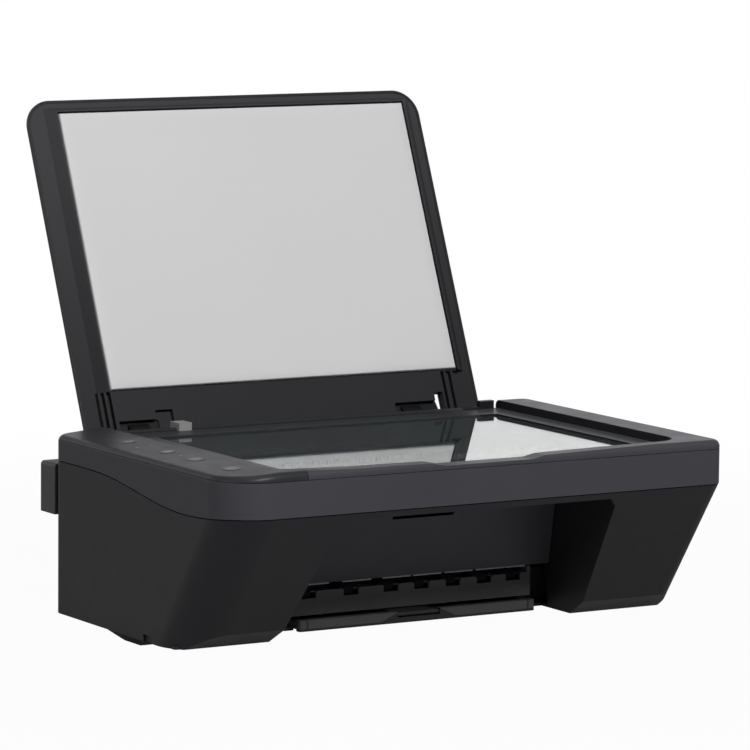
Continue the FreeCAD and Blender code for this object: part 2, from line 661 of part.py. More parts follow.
def hinge_posts():
    """Forked posts on the scanner's rear wall that carry the lid's stub axles."""
    posts = []
    for x in HINGE_XS:
        post = box(x - 13, x + 13, BODY_REAR, BODY_REAR + 2.6, 122, LID_HINGE_Z + 5.3)
        for side in (-1, 1):
            x0, x1 = sorted((x + side * 9.5, x + side * 13))
            ear = join(box(x0, x1, BODY_REAR, LID_HINGE_Y, LID_HINGE_Z - 5.3, LID_HINGE_Z + 5.3),
                       cyl_x(x0, x1, LID_HINGE_Y, LID_HINGE_Z, 5.3))
            post = post.fuse(ear)
        bore = cyl_x(x - 20, x + 20, LID_HINGE_Y, LID_HINGE_Z, STUB_R + 0.06)
        posts.append(post.cut(bore).removeSplitter())
    return Part.makeCompound(posts)


def hinge_clip():
    """Small pale clip hooked over the rear wall beside the left hinge."""
    top = box(CLIP_X0, CLIP_X1, 271, 285.5, LIP_TOP, CLIP_TOP)
    back = box(CLIP_X0, CLIP_X1, BODY_REAR, 285.5, 126, CLIP_TOP)
    return join(top, back, box(CLIP_X0 + 3, CLIP_X1 - 3, 285, 288, 128, 138))


# Front cover and output tray

def access_cover():
    """Leaning front cover with folded ends, a finger notch and a stub pin at each lower corner."""
    run = (COVER_HIGH[0] - COVER_LOW[0], COVER_HIGH[1] - COVER_LOW[1])
    length = math.hypot(*run)
    back = V(0, run[1] / length * COVER_T, -run[0] / length * COVER_T)
    gap = 1.0
    corners = [V(s * (recess_x(z) - gap), y, z)
               for s, (y, z) in ((-1, COVER_LOW), (1, COVER_LOW), (1, COVER_HIGH), (-1, COVER_HIGH))]
    cover = polygon(corners).extrude(back)
    deep = 5.0
    for side in (-1, 1):
        end = []
        for (y, z), dy, dz in ((COVER_LOW, 2.0, 1.0), (COVER_HIGH, 1.5, 0.0), (COVER_HIGH, deep, 0.0),
                               (COVER_LOW, deep, 3.0)):
            end.append(V(side * (recess_x(z + dz) - gap - 0.3), y + dy, z + dz))
        cover = cover.fuse(polygon(end).extrude(V(-side * 2.2, 0, 0)))
        x = side * (recess_x(COVER_PIN[1]) - gap - 0.2)
        boss = sorted((x, x - side * 8))
        pin = sorted((x - side * 4, x + side * 4))
        cover = cover.fuse(cyl_x(boss[0], boss[1], COVER_PIN[0], COVER_PIN[1], 2.8))
        cover = cover.fuse(cyl_x(pin[0], pin[1], COVER_PIN[0], COVER_PIN[1], COVER_PIN_R))
    notch = prism_y([(-24, 87.5), (29, 87.5), (36, 97), (-24, 97)], 60, 130)
    return cover.cut(notch).removeSplitter()


def output_tray():
    """Sliding tray plate with a front bar that is split in the middle for the flap."""
    plate = slab(-TRAY_HALF, TRAY_HALF, 96, TRAY_Y1, TRAY_Z0, TRAY_Z1, 1, 1, 4, 4)
    bar = slab(-TRAY_HALF, TRAY_HALF, TRAY_Y0, 98.5, TRAY_Z0 - 1.4, 17, 2.5, 2.5, 1, 1)
    ribs = [box(x - 0.8, x + 0.8, 118, TRAY_Y1 - 4, TRAY_Z1 - 0.5, TRAY_Z1 + 0.5) for x in range(-80, 81, 20)]
    gap = box(-FLAP_HALF - 0.5, FLAP_HALF + 0.5, 80, 120, TRAY_Z1, 30)
    pins = cyl_x(-FLAP_HALF - 4, FLAP_HALF + 4, FLAP_PIN[0], FLAP_PIN[1], 1.26)
    return plate.fuse([bar] + ribs).cut([gap, pins]).removeSplitter()


def tray_flap():
    """Small paper stop that swings forward out of the tray's bar."""
    y, z = FLAP_PIN
    barrel = cyl_x(-FLAP_HALF, FLAP_HALF, y, z, 1.7)
    plate = box(-FLAP_HALF, FLAP_HALF, y, y + FLAP_LEN, z - 1.0, z + 1.0)
    tip = cyl_x(-FLAP_HALF, FLAP_HALF, y + FLAP_LEN, z, 1.0)
    pins = cyl_x(-FLAP_HALF - 3.4, FLAP_HALF + 3.4, y, z, 1.2)
    return join(barrel, plate, tip, pins)


# Rear tray

def rear_tray():
    """Hump across the back with the paper slot, and the chute below it that opens into the case."""
    gap = 0.4
    y0 = BODY_REAR + gap
    hump = box(-211.5, 211.5, y0, FULL_REAR, HUMP_Z0, HUMP_Z1)
    rim = edges_at(hump, lambda b, e: (b.YMin > FULL_REAR - 0.01
                                       or (b.XLength < 0.01 and b.ZMin > HUMP_Z1 - 0.01)))
    hump = hump.makeFillet(3.0, rim)
    hump = hump.cut(box(-122, 122, 302, 320, 60, 130))
    chute = box(-120, 120, y0, 302, 20, HUMP_Z0 + 1)
    tray = hump.fuse(chute)
    tray = tray.cut(box(-116, 116, y0 - 1, 299, 24, 140))
    for side in (-1, 1):
        ear = sorted((side * 125, side * 209))
        tray = tray.cut(box(ear[0], ear[1], y0 - 1, 303.3, HUMP_Z0 + 2.5, HUMP_Z1 - 2.5))
        hole = sorted((side * 121, side * 126))
        tray = tray.cut(cyl_x(hole[0], hole[1], SUPPORT_PIN[0], SUPPORT_PIN[1], 1.46))
    return tray.removeSplitter()


def paper_support():
    """Fold-up back rest, hanging behind the chute, with ribs and a finger notch."""
    y, z = SUPPORT_PIN
    half = 121.2
    plate = box(-half, half, y - 1.6, y + 1.6, 26, z)
    top = cyl_x(-half, half, y, z, 1.6)
    pins = cyl_x(-half - 3.2, half + 3.2, y, z, 1.4)
    notch = cyl_y(0, y - 5, y + 5, 22, 14)
    slots = [box(x - 20, x + 20, y - 5, y - 0.4, 44, 98) for x in (-80, 0, 80)]
    return join(plate, top, pins).cut([notch] + slots).removeSplitter()


def paper_guide(side):
    """Upright width guide with a foot that slides along the chute's back wall."""
    x0, x1 = sorted((side * 112, side * 109.5))
    f0, f1 = sorted((side * 112, side * 90))
    fence = box(x0, x1, 284, 298.4, 68, 113)
    foot = box(f0, f1, 296.2, 298.4, 68, 104)
    grip = box(f0, f1, 294.4, 298.4, 98, 104)
    return join(fence, foot, grip)


# Paper path

def feed_guide():
    """Curved paper bed from the chute to the feed roller, with cheeks that carry the pickup shaft."""
    top = [(298.2, 66), (286, 48), (262, 39), (225, 36), (185, 35.5)]
    low = [(185, 33), (225, 33.4), (262, 36.2), (284.4, 45), (298.2, 62)]
    bed = prism_x(top + low, -112, 112)
    parts = [bed]
    for side in (-1, 1):
        x0, x1 = sorted((side * 112, side * 114.4))
        parts.append(prism_x([(240, BASE_Z + 2.5), (272, BASE_Z + 2.5), (268, 60), (248, 60), (225, 37),
                              (225, 33)],
                             x0, x1))
    guide = join(*parts)
    return guide.cut(cyl_x(-130, 130, PICKUP[0], PICKUP[1], 3.06)).removeSplitter()


def pickup_roller():
    tyre = cyl_x(-26, 26, PICKUP[0], PICKUP[1], PICKUP_R)
    tyre = tyre.makeFillet(1.0, edges_at(tyre, lambda b, e: b.XLength < 0.01))
    flats = [cyl_x(x - 6, x + 6, PICKUP[0], PICKUP[1], 12.5) for x in (-70, 70)]
    return join(cyl_x(-117, 117, PICKUP[0], PICKUP[1], 3.0), tyre, *flats)


def feed_roller():
    shaft = cyl_x(-193, 119, FEED[0], FEED[1], 3.0)
    return join(shaft, cyl_x(-110, 110, FEED[0], FEED[1], FEED_R))


def eject_roller():
    shaft = cyl_x(-193, 119, EJECT[0], EJECT[1], 3.0)
    tyres = []
    for x in EXIT_XS:
        tyre = cyl_x(x - 6.5, x + 6.5, EJECT[0], EJECT[1], EJECT_R)
        tyres.append(tyre.makeFillet(0.6, edges_at(tyre, lambda b, e: b.XLength < 0.01)))
    return join(shaft, *tyres)


def pinch_rollers():
    wheels = [cyl_x(x - 9, x + 9, PINCH[0], PINCH[1], PINCH_R) for x in (-84, -42, 0, 42, 84)]
    return join(cyl_x(-109, 109, PINCH[0], PINCH[1], 1.2), *wheels)


def star_wheels():
    """Thin toothed wheels in pairs on one wire shaft."""
    points = []
    for k in range(24):
        r = STAR_R if k % 2 == 0 else STAR_R - 1.3
        a = math.pi * k / 12
        points.append((STAR[0] + r * math.cos(a), STAR[1] + r * math.sin(a)))
    discs = [prism_x(points, x + s * 3 - 0.5, x + s * 3 + 0.5) for x in EXIT_XS for s in (-1, 1)]
    return join(cyl_x(-105, 112, STAR[0], STAR[1], 1.0), *discs)


def star_wheel_holder():
    """Cross bar over the exit with a pale face plate in front of each pair of star wheels and beside it."""
    bar = box(-112, 112, 121, 134, 47.5, 51.5)
    plates = [box(x - 4, min(x + 21, 111.5), 119.6, 121.2, 38.2, 51.5) for x in EXIT_XS]
    tabs = [box(x - 1.5, x + 1.5, 125, 131, 40.2, 48) for x in (-103, -30, 29, 109)]
    holder = bar.fuse(plates + tabs).cut(cyl_x(-120, 120, STAR[0], STAR[1], 1.06))
    return holder.removeSplitter()


def print_platen():
    """Moulded bed under the print head: castellated exit guide, ribbed platen and roller side walls."""
    floor = box(-112, 112, 118, 172, 17, 19.4)
    guide = box(-112, 112, 118, 120.4, 15.8, GUIDE_TOP)
    guide = guide.cut([box(x - 4, x + 9, 117, 122, 28.3, GUIDE_TOP + 1) for x in EXIT_XS])
    corners = edges_at(guide, lambda b, e: b.ZMin > GUIDE_TOP - 0.01 and b.XLength < 0.01 and abs(b.XMin) < 111)
    guide = guide.makeFillet(1.6, corners)
    top = box(-112, 112, 137, 168, 33, 35.6)
    front = box(-112, 112, 137, 139, 19, 34)
    rear = box(-112, 112, 166, 168, 19, 34)
    ribs = [box(x - 0.8, x + 0.8, 138, 167, 35.5, 37.4) for x in range(-100, 101, 12)]
    parts = [guide, top, front, rear] + ribs
    for side in (-1, 1):
        x0, x1 = sorted((side * 112, side * 115))
        parts.append(box(x0, x1, 118, 184, 15.8, 38.5))
    bed = floor.fuse(parts)
    for axis in (EJECT, FEED):
        bed = bed.cut(cyl_x(-120, 120, axis[0], axis[1], 3.06))
    return bed.removeSplitter()


def feed_gear():
    return gear_x(FEED_T, FEED, 0.0, 3.0)


def eject_gear():
    axis, phase = gear_layout()["eject"]
    return gear_x(EJECT_T, axis, phase, 3.0)


def idler_gear():
    axis, phase = gear_layout()["idler"]
    return gear_x(IDLER_T, axis, phase, 2.05)


def motor_pinion():
    """Pinion with its motor shaft, which turns in the motor's nose."""
    axis, phase = gear_layout()["pinion"]
    gear = gear_x(PINION_T, axis, phase, 1.0)
    return join(gear, cyl_x(GEAR_X0, -172, axis[0], axis[1], 1.5))


def feed_motor():
    axis, _ = gear_layout()["pinion"]
    can = cyl_x(-178.4, -150, axis[0], axis[1], 11)
    can = can.makeFillet(1.5, edges_at(can, lambda b, e: b.XMin > -151))
    nose = cyl_x(-180, -178, axis[0], axis[1], 4)
    return join(can, nose).cut(cyl_x(-190, -171, axis[0], axis[1], 1.56))


# Print head

def chassis():
    """Bent steel frame: rear plate with the carriage rail and pinch shelf, left gear plate, foot flange."""
    plate = box(-200, 200, 212, 213.5, BASE_Z + 2.5, 100)
    rail = box(-200, 200, 204.5, 212.5, 56, 57.5)
    top = box(-200, 200, 196, 213, 98.5, 100)
    foot = box(-200, 200, 213, 224, BASE_Z + 2.5, BASE_Z + 4)
    shelf = box(-111, 111, 172, 212.5, 49.5, 51)
    left = box(-181.5, -180, 116, 212.5, BASE_Z + 2.5, 56)
    tabs = [box(x - 1, x + 1, 174, 182, 39, 50) for x in (-106, 106)]
    frame = plate.fuse([rail, top, foot, shelf, left] + tabs)
    axis, _ = gear_layout()["idler"]
    nose, _ = gear_layout()["pinion"]
    cuts = [box(-113.5, 113.5, 205, 230, 20, 49.5), box(-113, 113, 213.2, 230, 0, 12),
            cyl_x(-190, -170, FEED[0], FEED[1], 3.06), cyl_x(-190, -170, EJECT[0], EJECT[1], 3.06),
            cyl_x(-190, -170, nose[0], nose[1], 4.05), cyl_x(-120, 120, PINCH[0], PINCH[1], 1.26),
            cyl_y(BELT_X, 205, 220, BELT_Z, 3.2)]
    frame = frame.cut(cuts)
    pins = [cyl_x(GEAR_X0 - 1, -180.5, axis[0], axis[1], 2.0), cyl_y(-BELT_X, 205, 212.5, BELT_Z, 2.0)]
    clips = [box(x - 1.2, x + 1.2, 207.5, 212.5, 85, 94) for x in (-198, 198)]
    return frame.fuse(pins + clips).removeSplitter()


def pocket_xs():
    x = CARRIAGE_X0
    return ((x + 5, x + 47.5), (x + 52.5, x + 95))


def carriage():
    """Print head carrier with two open pockets, nozzle windows, a rail foot and lever ears."""
    x0 = CARRIAGE_X0
    x1 = x0 + CARRIAGE_W
    upper = box(x0, x1, 138, 203, 58, 93)
    lower = box(x0 + 2, x1 - 2, 139, 165, 40.6, 58.5)
    foot = box(x0 + 4, x1 - 4, 202.5, 211, 58, 61)
    body = upper.fuse([lower, foot])
    for a, b in pocket_xs():
        middle = (a + b) / 2
        body = body.cut(box(a, b, 142, 199, 61, 95))
        body = body.cut(box(middle - 14, middle + 14, 144, 160, 40, 62))
        body = body.cut(box(middle - 15, middle + 15, 137, 143, 80, 95))
        for x in (middle - 18.2, middle + 15.8):
            body = body.fuse(box(x, x + 2.4, 132.5, 138.5, 70, 80))
    pins = cyl_x(x0 - 5, x1 + 5, 135.2, 75.5, 1.26)
    return body.cut(pins).removeSplitter()


def cartridge(index):
    """Ink cartridge: tank, nozzle snout and a grip ledge at the front."""
    a, b = pocket_xs()[index]
    middle = (a + b) / 2
    tank = box(a + 0.6, b - 0.6, 143, 198, 61.4, 92)
    lid = box(a + 1.4, b - 1.4, 145, 196, 91.5, 96)
    snout = box(middle - 12, middle + 12, 145, 159, 42, 62)
    ledge = box(middle - 9, middle + 9, 140, 144, 84, 88)
    tank = tank.makeFillet(2.0, edges_at(tank, lambda b, e: b.ZLength > 20))
    return join(tank, lid, snout, ledge)


def cartridge_lock(index):
    """Lever in front of a pocket that holds its cartridge down."""
    a, b = pocket_xs()[index]
    middle = (a + b) / 2
    arm = box(middle - 13, middle + 13, 133.7, 136.3, 75.5, 97)
    foot = cyl_x(middle - 13, middle + 13, 135.2, 75.5, 1.5)
    grip = box(middle - 10, middle + 10, 131.8, 136.3, 94, 97)
    pins = cyl_x(middle - 17, middle + 17, 135.2, 75.5, 1.2)
    collars = cyl_x(middle - 15.3, middle + 15.3, 135.2, 75.5, 1.5)
    return join(arm, foot, grip, pins, collars)


def carriage_belt():
    """Flat loop round the two pulleys."""
    r = PULLEY_R + 0.5
    outer = join(box(-BELT_X, BELT_X, 206, 210.5, BELT_Z - r - 1, BELT_Z + r + 1),
                 *[cyl_y(s * BELT_X, 206, 210.5, BELT_Z, r + 1) for s in (-1, 1)])
    inner = join(box(-BELT_X, BELT_X, 200, 215, BELT_Z - r, BELT_Z + r),
                 *[cyl_y(s * BELT_X, 200, 215, BELT_Z, r) for s in (-1, 1)])
    return outer.cut(inner)


def pulley(x, bore):
    """Toothed pulley with flutes across its face."""
    body = cyl_y(x, 206.2, 210.3, BELT_Z, PULLEY_R)
    flutes = [cyl_y(x + PULLEY_R * math.cos(a), 205, 212, BELT_Z + PULLEY_R * math.sin(a), 0.5)
              for a in [2 * math.pi * k / 16 for k in range(16)]]
    body = body.cut(flutes)
    return body.cut(cyl_y(x, 200, 215, BELT_Z, bore)) if bore else body


def carriage_pulley():
    return join(pulley(BELT_X, 0), cyl_y(BELT_X, 209, 222, BELT_Z, 1.5))


def carriage_idler():
    return pulley(-BELT_X, 2.05)


def carriage_motor():
    can = cyl_y(BELT_X, 213.5, 240, BELT_Z, 12)
    can = can.makeFillet(1.5, edges_at(can, lambda b, e: b.YMin > 239))
    return can.cut(cyl_y(BELT_X, 210, 224, BELT_Z, 1.56))


def encoder_strip():
    return box(-196.8, 196.8, 207.9, 208.3, 87, 92)


def maintenance_unit():
    """Park station: base, two nozzle caps and a wiper blade."""
    base = box(118, 205, 139, 166, BASE_Z + 2.5, 33).cut(box(121, 202, 142, 163, 20, 40))
    parts = [base]
    for a, b in pocket_xs():
        middle = (a + b) / 2
        cap = box(middle - 13, middle + 13, 144.5, 159.5, 19, 38)
        parts.append(cap.cut(box(middle - 11, middle + 11, 146.5, 157.5, 36, 40)))
    parts.append(box(156.2, 157.8, 144, 160, 19, 39))
    return join(*parts)


def waste_absorber():
    return box(124, 178, 170, 208, BASE_Z + 2.5, 27)


def logic_board():
    """Main circuit board with its chips, connectors, stand-offs and the rear data socket."""
    board = box(-206, -122, 262, 263.6, 34, 98)
    chips = [box(-190, -166, 259.6, 262, 60, 84), box(-150, -136, 260, 262, 66, 80),
             box(-150, -132, 260.4, 262, 40, 48)]
    plugs = [box(-204, -198, 255, 262, 50, 70), box(-180, -160, 255, 262, 36, 42),
             box(-140, -126, 255, 262, 52, 58)]
    posts = [cyl_y(x, 263.4, BODY_REAR - WALL, z, 3) for x in (-196, -128) for z in (39, 93)]
    socket = box(-171, -159, 263.4, 279.6, 44, 55).cut(box(-169.2, -160.8, 268, 282, 45.4, 53))
    tongue = box(-167.6, -162.4, 267, 278, 47.6, 50.6)
    return join(board, socket, tongue, *(chips + plugs + posts))


def power_supply():
    """Closed mains adapter block inside the rear right corner."""
    can = box(124, 204, 228, 272, BASE_Z + 2.5, 54)
    can = can.makeFillet(2.0, edges_at(can, lambda b, e: b.ZLength > 20))
    return can.cut(cyl_z(200, 262, 0, 40, 5.5))


def mains_inlet():
    """Two-pin mains inlet set in the rear wall."""
    shell = box(155, 177, 272, 280.2, 20, 34)
    wells = join(*[cyl_y(166 + s * 4.2, 274, 285, 27, 4.4) for s in (-1, 1)])
    pins = [cyl_y(166 + s * 4.2, 273.5, 279.4, 27, 1.2) for s in (-1, 1)]
    return shell.cut(wells).fuse(pins).removeSplitter()


def pieces():
    """Every node's name with its shape."""
    nodes = {
        "base_pan": base_pan, "rubber_feet": rubber_feet, "case_screws": case_screws, "main_case": main_case,
        "scanner_tub": scanner_tub, "scanner_top": scanner_top, "operation_panel": operation_panel,
        "platen_glass": platen_glass, "panel_board": panel_board, "scan_rod": scan_rod, "scan_bar": scan_bar,
        "scan_motor": scan_motor, "scan_pinion": scan_pinion, "lid_cover": lid_cover, "lid_liner": lid_liner,
        "lid_pad": lid_pad, "lid_hinges": lid_hinges, "hinge_posts": hinge_posts, "hinge_clip": hinge_clip,
        "access_cover": access_cover, "output_tray": output_tray, "tray_flap": tray_flap,
        "rear_tray": rear_tray, "paper_support": paper_support, "feed_guide": feed_guide,
        "pickup_roller": pickup_roller,
        "feed_roller": feed_roller, "feed_gear": feed_gear, "idler_gear": idler_gear,
        "motor_pinion": motor_pinion, "feed_motor": feed_motor, "eject_roller": eject_roller,
        "eject_gear": eject_gear,
        "pinch_rollers": pinch_rollers, "star_wheels": star_wheels, "star_wheel_holder": star_wheel_holder,
        "print_platen": print_platen, "chassis": chassis, "carriage": carriage,
        "carriage_belt": carriage_belt, "carriage_pulley": carriage_pulley, "carriage_idler": carriage_idler,
        "carriage_motor": carriage_motor, "encoder_strip": encoder_strip,
        "maintenance_unit": maintenance_unit, "waste_absorber": waste_absorber, "logic_board": logic_board,
        "power_supply": power_supply, "mains_inlet": mains_inlet,
    }
    shapes = {name: make() for name, make in nodes.items()}
    for name in BUTTONS:
        shapes[name] = button(name)
    for side, word in ((-1, "left"), (1, "right")):
        shapes["paper_guide_" + word] = paper_guide(side)
    for index, word in enumerate(("black", "color")):
        shapes["cartridge_" + word] = cartridge(index)
        shapes["lock_" + word] = cartridge_lock(index)
    return shapes


def main():
    os.makedirs("parts", exist_ok=True)
    for name, shape in pieces().items():
        shape.translate(V(0, -ORIGIN_Y, 0))
        shape.exportStep("parts/" + name + ".step")


if __name__ == "__main__":
    main()
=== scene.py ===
import math

import bpy
import numpy as np
from mathutils import Matrix, Vector


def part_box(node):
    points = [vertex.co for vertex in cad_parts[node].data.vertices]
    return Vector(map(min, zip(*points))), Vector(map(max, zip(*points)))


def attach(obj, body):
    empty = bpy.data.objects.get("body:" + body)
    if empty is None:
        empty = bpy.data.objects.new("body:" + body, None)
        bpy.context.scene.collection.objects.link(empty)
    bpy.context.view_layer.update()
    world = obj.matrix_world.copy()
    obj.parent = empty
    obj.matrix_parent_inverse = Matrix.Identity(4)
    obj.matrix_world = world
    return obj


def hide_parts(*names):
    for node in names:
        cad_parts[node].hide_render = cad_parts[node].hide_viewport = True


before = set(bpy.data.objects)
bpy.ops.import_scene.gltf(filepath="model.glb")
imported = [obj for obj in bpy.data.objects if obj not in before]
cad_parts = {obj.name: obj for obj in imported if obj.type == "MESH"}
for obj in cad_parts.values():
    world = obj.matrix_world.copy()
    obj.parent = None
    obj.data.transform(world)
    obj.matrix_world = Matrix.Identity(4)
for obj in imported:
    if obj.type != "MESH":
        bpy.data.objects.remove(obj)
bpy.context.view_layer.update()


# Base pan: the black moulded tray that everything stands in. It is injection moulded with a spark-eroded
# grain outside, and the case drops over its edge.

class Wire:
    """One output socket of a finish's nodes, so that sums of sockets read as plain Python."""

    def __init__(self, tree, socket):
        self.tree = tree
        self.socket = socket

    def node(self, kind, settings, sockets, out=0):
        """Add any node: its settings first, then the value or wire of each socket."""
        made = self.tree.nodes.new("ShaderNode" + kind)
        for name, value in settings.items():
            setattr(made, name, value)
        for name, value in sockets.items():
            if isinstance(value, Wire):
                self.tree.links.new(value.socket, made.inputs[name])
            else:
                made.inputs[name].default_value = value
        return Wire(self.tree, made.outputs[out])

    def maths(self, operation, a, b):
        """One Math node on two values or wires."""
        return self.node("Math", {"operation": operation}, {0: a, 1: b})

    def __add__(self, other):
        return self.maths("ADD", self, other)

    __radd__ = __add__

    def __sub__(self, other):
        return self.maths("SUBTRACT", self, other)

    def __rsub__(self, other):
        return self.maths("SUBTRACT", other, self)

    def __mul__(self, other):
        return self.maths("MULTIPLY", self, other)

    __rmul__ = __mul__

    def __pow__(self, other):
        return self.maths("POWER", self, other)

    def axis(self, letter):
        """One coordinate of a vector wire."""
        return self.node("SeparateXYZ", {}, {0: self}, "XYZ".index(letter))

    def noise(self, size, detail=2.0):
        """Cloudy noise whose lumps are about this size in metres, from 0 to 1."""
        return self.node("TexNoise", {}, {"Vector": self, "Scale": 1.0 / size, "Detail": detail})

    def spots(self, scale):
        """Distance to the nearest of many scattered points, this many to the metre."""
        return self.node("TexVoronoi", {}, {"Vector": self, "Scale": scale})

    def stretched(self, x, y, z):
        """The same coordinates multiplied along each axis."""
        return self.node("VectorMath", {"operation": "MULTIPLY"}, {0: self, 1: (x, y, z)})

    def wave(self, turns):
        """Sine of this many radians per unit."""
        return self.node("Math", {"operation": "SINE"}, {0: self * turns})

    def rise(self, start, end):
        """Mask that goes smoothly from 0 at start to 1 at end, which may be the lower of the two."""
        ends = {0: self, 1: start, 2: end, 3: 0.0, 4: 1.0}
        return self.node("MapRange", {"interpolation_type": "SMOOTHSTEP"}, ends)

    def paint(self, a, b):
        """Colour a where this mask is 0 and colour b where it is 1."""
        a, b = [c if isinstance(c, Wire) else (*c, 1.0) for c in (a, b)]
        return self.node("Mix", {"data_type": "RGBA"}, {0: self, 6: a, 7: b}, 2)

    def bump(self, strength, depth=0.0003):
        """This height as relief, for a shader's Normal."""
        return self.node("Bump", {}, {"Strength": strength, "Distance": depth, "Height": self})


def finish(name):
    """A new material: itself, its Principled shader and a wire with the piece's Object coordinates."""
    made = bpy.data.materials.new(name)
    made.use_nodes = True
    shader = made.node_tree.nodes["Principled BSDF"]
    place = Wire(made.node_tree, None).node("TexCoord", {}, {}, "Object")
    return made, shader, place


def feed(shader, **sockets):
    """Set or wire the shader's sockets, named with _ for a space."""
    for name, value in sockets.items():
        socket = shader.inputs[name.replace("_", " ")]
        if isinstance(value, Wire):
            value.tree.links.new(value.socket, socket)
        else:
            socket.default_value = (*value, 1.0) if isinstance(value, tuple) else value


def shades(colour, share):
    """A colour made darker and lighter by this share of itself."""
    return [tuple(c * (1.0 + s * share) for c in colour) for s in (-1, 1)]


flow_size, hand_size = 0.11, 0.017


def moulded(name, colour, rough, drift=0.10, grain=0.10, grain_size=0.0006, level=0.35, coat=0.0):
    """Moulding: fine eroded grain as bump, a slow drift of tone along the flow and a handled sheen."""
    made, shader, place = finish(name)
    flow = place.noise(flow_size, 3.0)
    handled = place.noise(hand_size, 4.0)
    feed(shader, Base_Color=flow.paint(*shades(colour, drift)), Roughness=(handled - 0.5) * 0.16 + rough,
         Specular_IOR_Level=level, Coat_Weight=coat, Coat_Roughness=0.12,
         Normal=place.noise(grain_size).bump(grain))
    return made


def dress(material, *nodes):
    """Give solids from the frame this material."""
    for node in nodes:
        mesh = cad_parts[node].data
        mesh.materials.clear()
        mesh.materials.append(material)


dress(moulded("pan_plastic", (0.020, 0.020, 0.022), 0.55, grain=0.14, grain_size=0.0009), "base_pan")


# Feet: four round rubber pads and two side skids, pressed into the pan. The rubber is matt, with a pale
# bloom and the odd speck of lint.

made, shader, place = finish("foot_rubber")
bloom = place.noise(0.012, 4.0)
lint = place.spots(900.0).rise(0.16, 0.08)
feed(shader, Base_Color=(lint * 0.5 + bloom * 0.6).paint((0.012, 0.012, 0.012), (0.045, 0.044, 0.042)),
     Roughness=bloom * 0.2 + 0.7, Specular_IOR_Level=0.25, Normal=place.noise(0.0012).bump(0.2))
dress(made, "rubber_feet")


# Screws: zinc plated, driven up through the pan into the case. The plating is bright with a slight cast and
# turned rings on each head.

def plated(name, colour, rough, streak=(1.0, 1.0, 60.0), streak_size=0.004):
    """Plated steel: long rolled streaks in tone and gloss, over a faint crystal mottle."""
    made, shader, place = finish(name)
    streaks = place.stretched(*streak).noise(streak_size, 3.0)
    mottle = place.noise(0.009, 5.0)
    tone = streaks * 0.6 + mottle * 0.4
    feed(shader, Base_Color=tone.paint(*shades(colour, 0.16)), Metallic=1.0,
         Roughness=(tone - 0.5) * 0.22 + rough, Normal=streaks.bump(0.06, 0.0002))
    return made


dress(plated("screw_zinc", (0.58, 0.57, 0.54), 0.34), "case_screws")


# Circuit board: green glass-fibre laminate with copper tracks under the mask, black chips, pale connectors
# and the steel shell of the data socket. The board is screwed to posts.

def inside(place, low, high, soft=0.00008):
    """Mask that is 1 within the box from low to high, in metres, and 0 outside it."""
    mask = 1.0
    for letter, a, b in zip("XYZ", low, high):
        at = place.axis(letter)
        mask = at.rise(a - soft, a + soft) * at.rise(b + soft, b - soft) * mask
    return mask


def laminate(name, along, across, chips, plugs, shells):
    """Board: tracks as narrow bands of two square waves, pads as dots, fitted parts told by their boxes."""
    made, shader, place = finish(name)
    bands = [place.axis(letter).wave(2.0 * math.pi / pitch).rise(0.72, 0.8)
             for letter, pitch in ((along, 0.0031), (across, 0.0043))]
    lot = place.noise(0.012, 0.0)
    tracks = bands[0] * lot.rise(0.52, 0.54) + bands[1] * lot.rise(0.50, 0.48)
    pads = place.spots(260.0).rise(0.22, 0.18) * lot.rise(0.56, 0.6)
    epoxy, pale, steel = [sum(inside(place, *box) for box in boxes) for boxes in (chips, plugs, shells)]
    skin = tracks.paint((0.006, 0.060, 0.024), (0.018, 0.125, 0.050))
    for mask, colour in ((pads, (0.62, 0.58, 0.50)), (epoxy, (0.017, 0.017, 0.018)),
                         (pale, (0.66, 0.64, 0.58)), (steel, (0.60, 0.60, 0.61))):
        skin = mask.paint(skin, colour)
    feed(shader, Base_Color=skin, Metallic=steel, Roughness=lot * 0.12 + 0.34, Specular_IOR_Level=0.5,
         Normal=(tracks + pads).bump(0.25, 0.00006))
    return made


dress(laminate("logic_laminate", "X", "Z",
               chips=[((-0.1902, 0.0504, 0.0598), (-0.1658, 0.0529, 0.0842)),
                      ((-0.1502, 0.0508, 0.0658), (-0.1358, 0.0529, 0.0802)),
                      ((-0.1502, 0.0512, 0.0398), (-0.1318, 0.0529, 0.0482))],
               plugs=[((-0.2042, 0.0455, 0.0498), (-0.1978, 0.0529, 0.0702)),
                      ((-0.1802, 0.0455, 0.0358), (-0.1598, 0.0529, 0.0422)),
                      ((-0.1402, 0.0455, 0.0518), (-0.1258, 0.0529, 0.0582))],
               shells=[((-0.1712, 0.0547, 0.0438), (-0.1588, 0.0720, 0.0552))]), "logic_board")


# Power block and mains inlet: a closed black adapter brick with a fine vertical draw texture, and the
# two-pin inlet beside it, whose pins are nickel.

dress(moulded("brick_plastic", (0.018, 0.018, 0.019), 0.48, grain=0.18, grain_size=0.0012), "power_supply")

pin_xs, pin_z, pin_square = (0.1618, 0.1702), 0.027, (2.0e-6, 1.7e-6)
made, shader, place = finish("inlet_plastic")
off_pins = [(place.axis("X") - x) ** 2.0 + (place.axis("Z") - pin_z) ** 2.0 for x in pin_xs]
pin = sum(off.rise(*pin_square) for off in off_pins)
scuff = place.noise(0.004, 4.0)
socket_black = scuff.paint((0.012, 0.012, 0.013), (0.022, 0.022, 0.024))
feed(shader, Base_Color=pin.paint(socket_black, (0.70, 0.69, 0.66)), Metallic=pin,
     Roughness=scuff * 0.15 + 0.32, Normal=scuff.bump(0.1, 0.0002))
dress(made, "mains_inlet")


# Chassis: one bent sheet of zinc coated steel that carries the carriage rail, the pinch shelf and the gear
# plate. The rolled streaks run along its length.

dress(plated("chassis_zinc", (0.56, 0.57, 0.58), 0.36, streak=(0.04, 1.0, 1.0), streak_size=0.0012),
      "chassis")


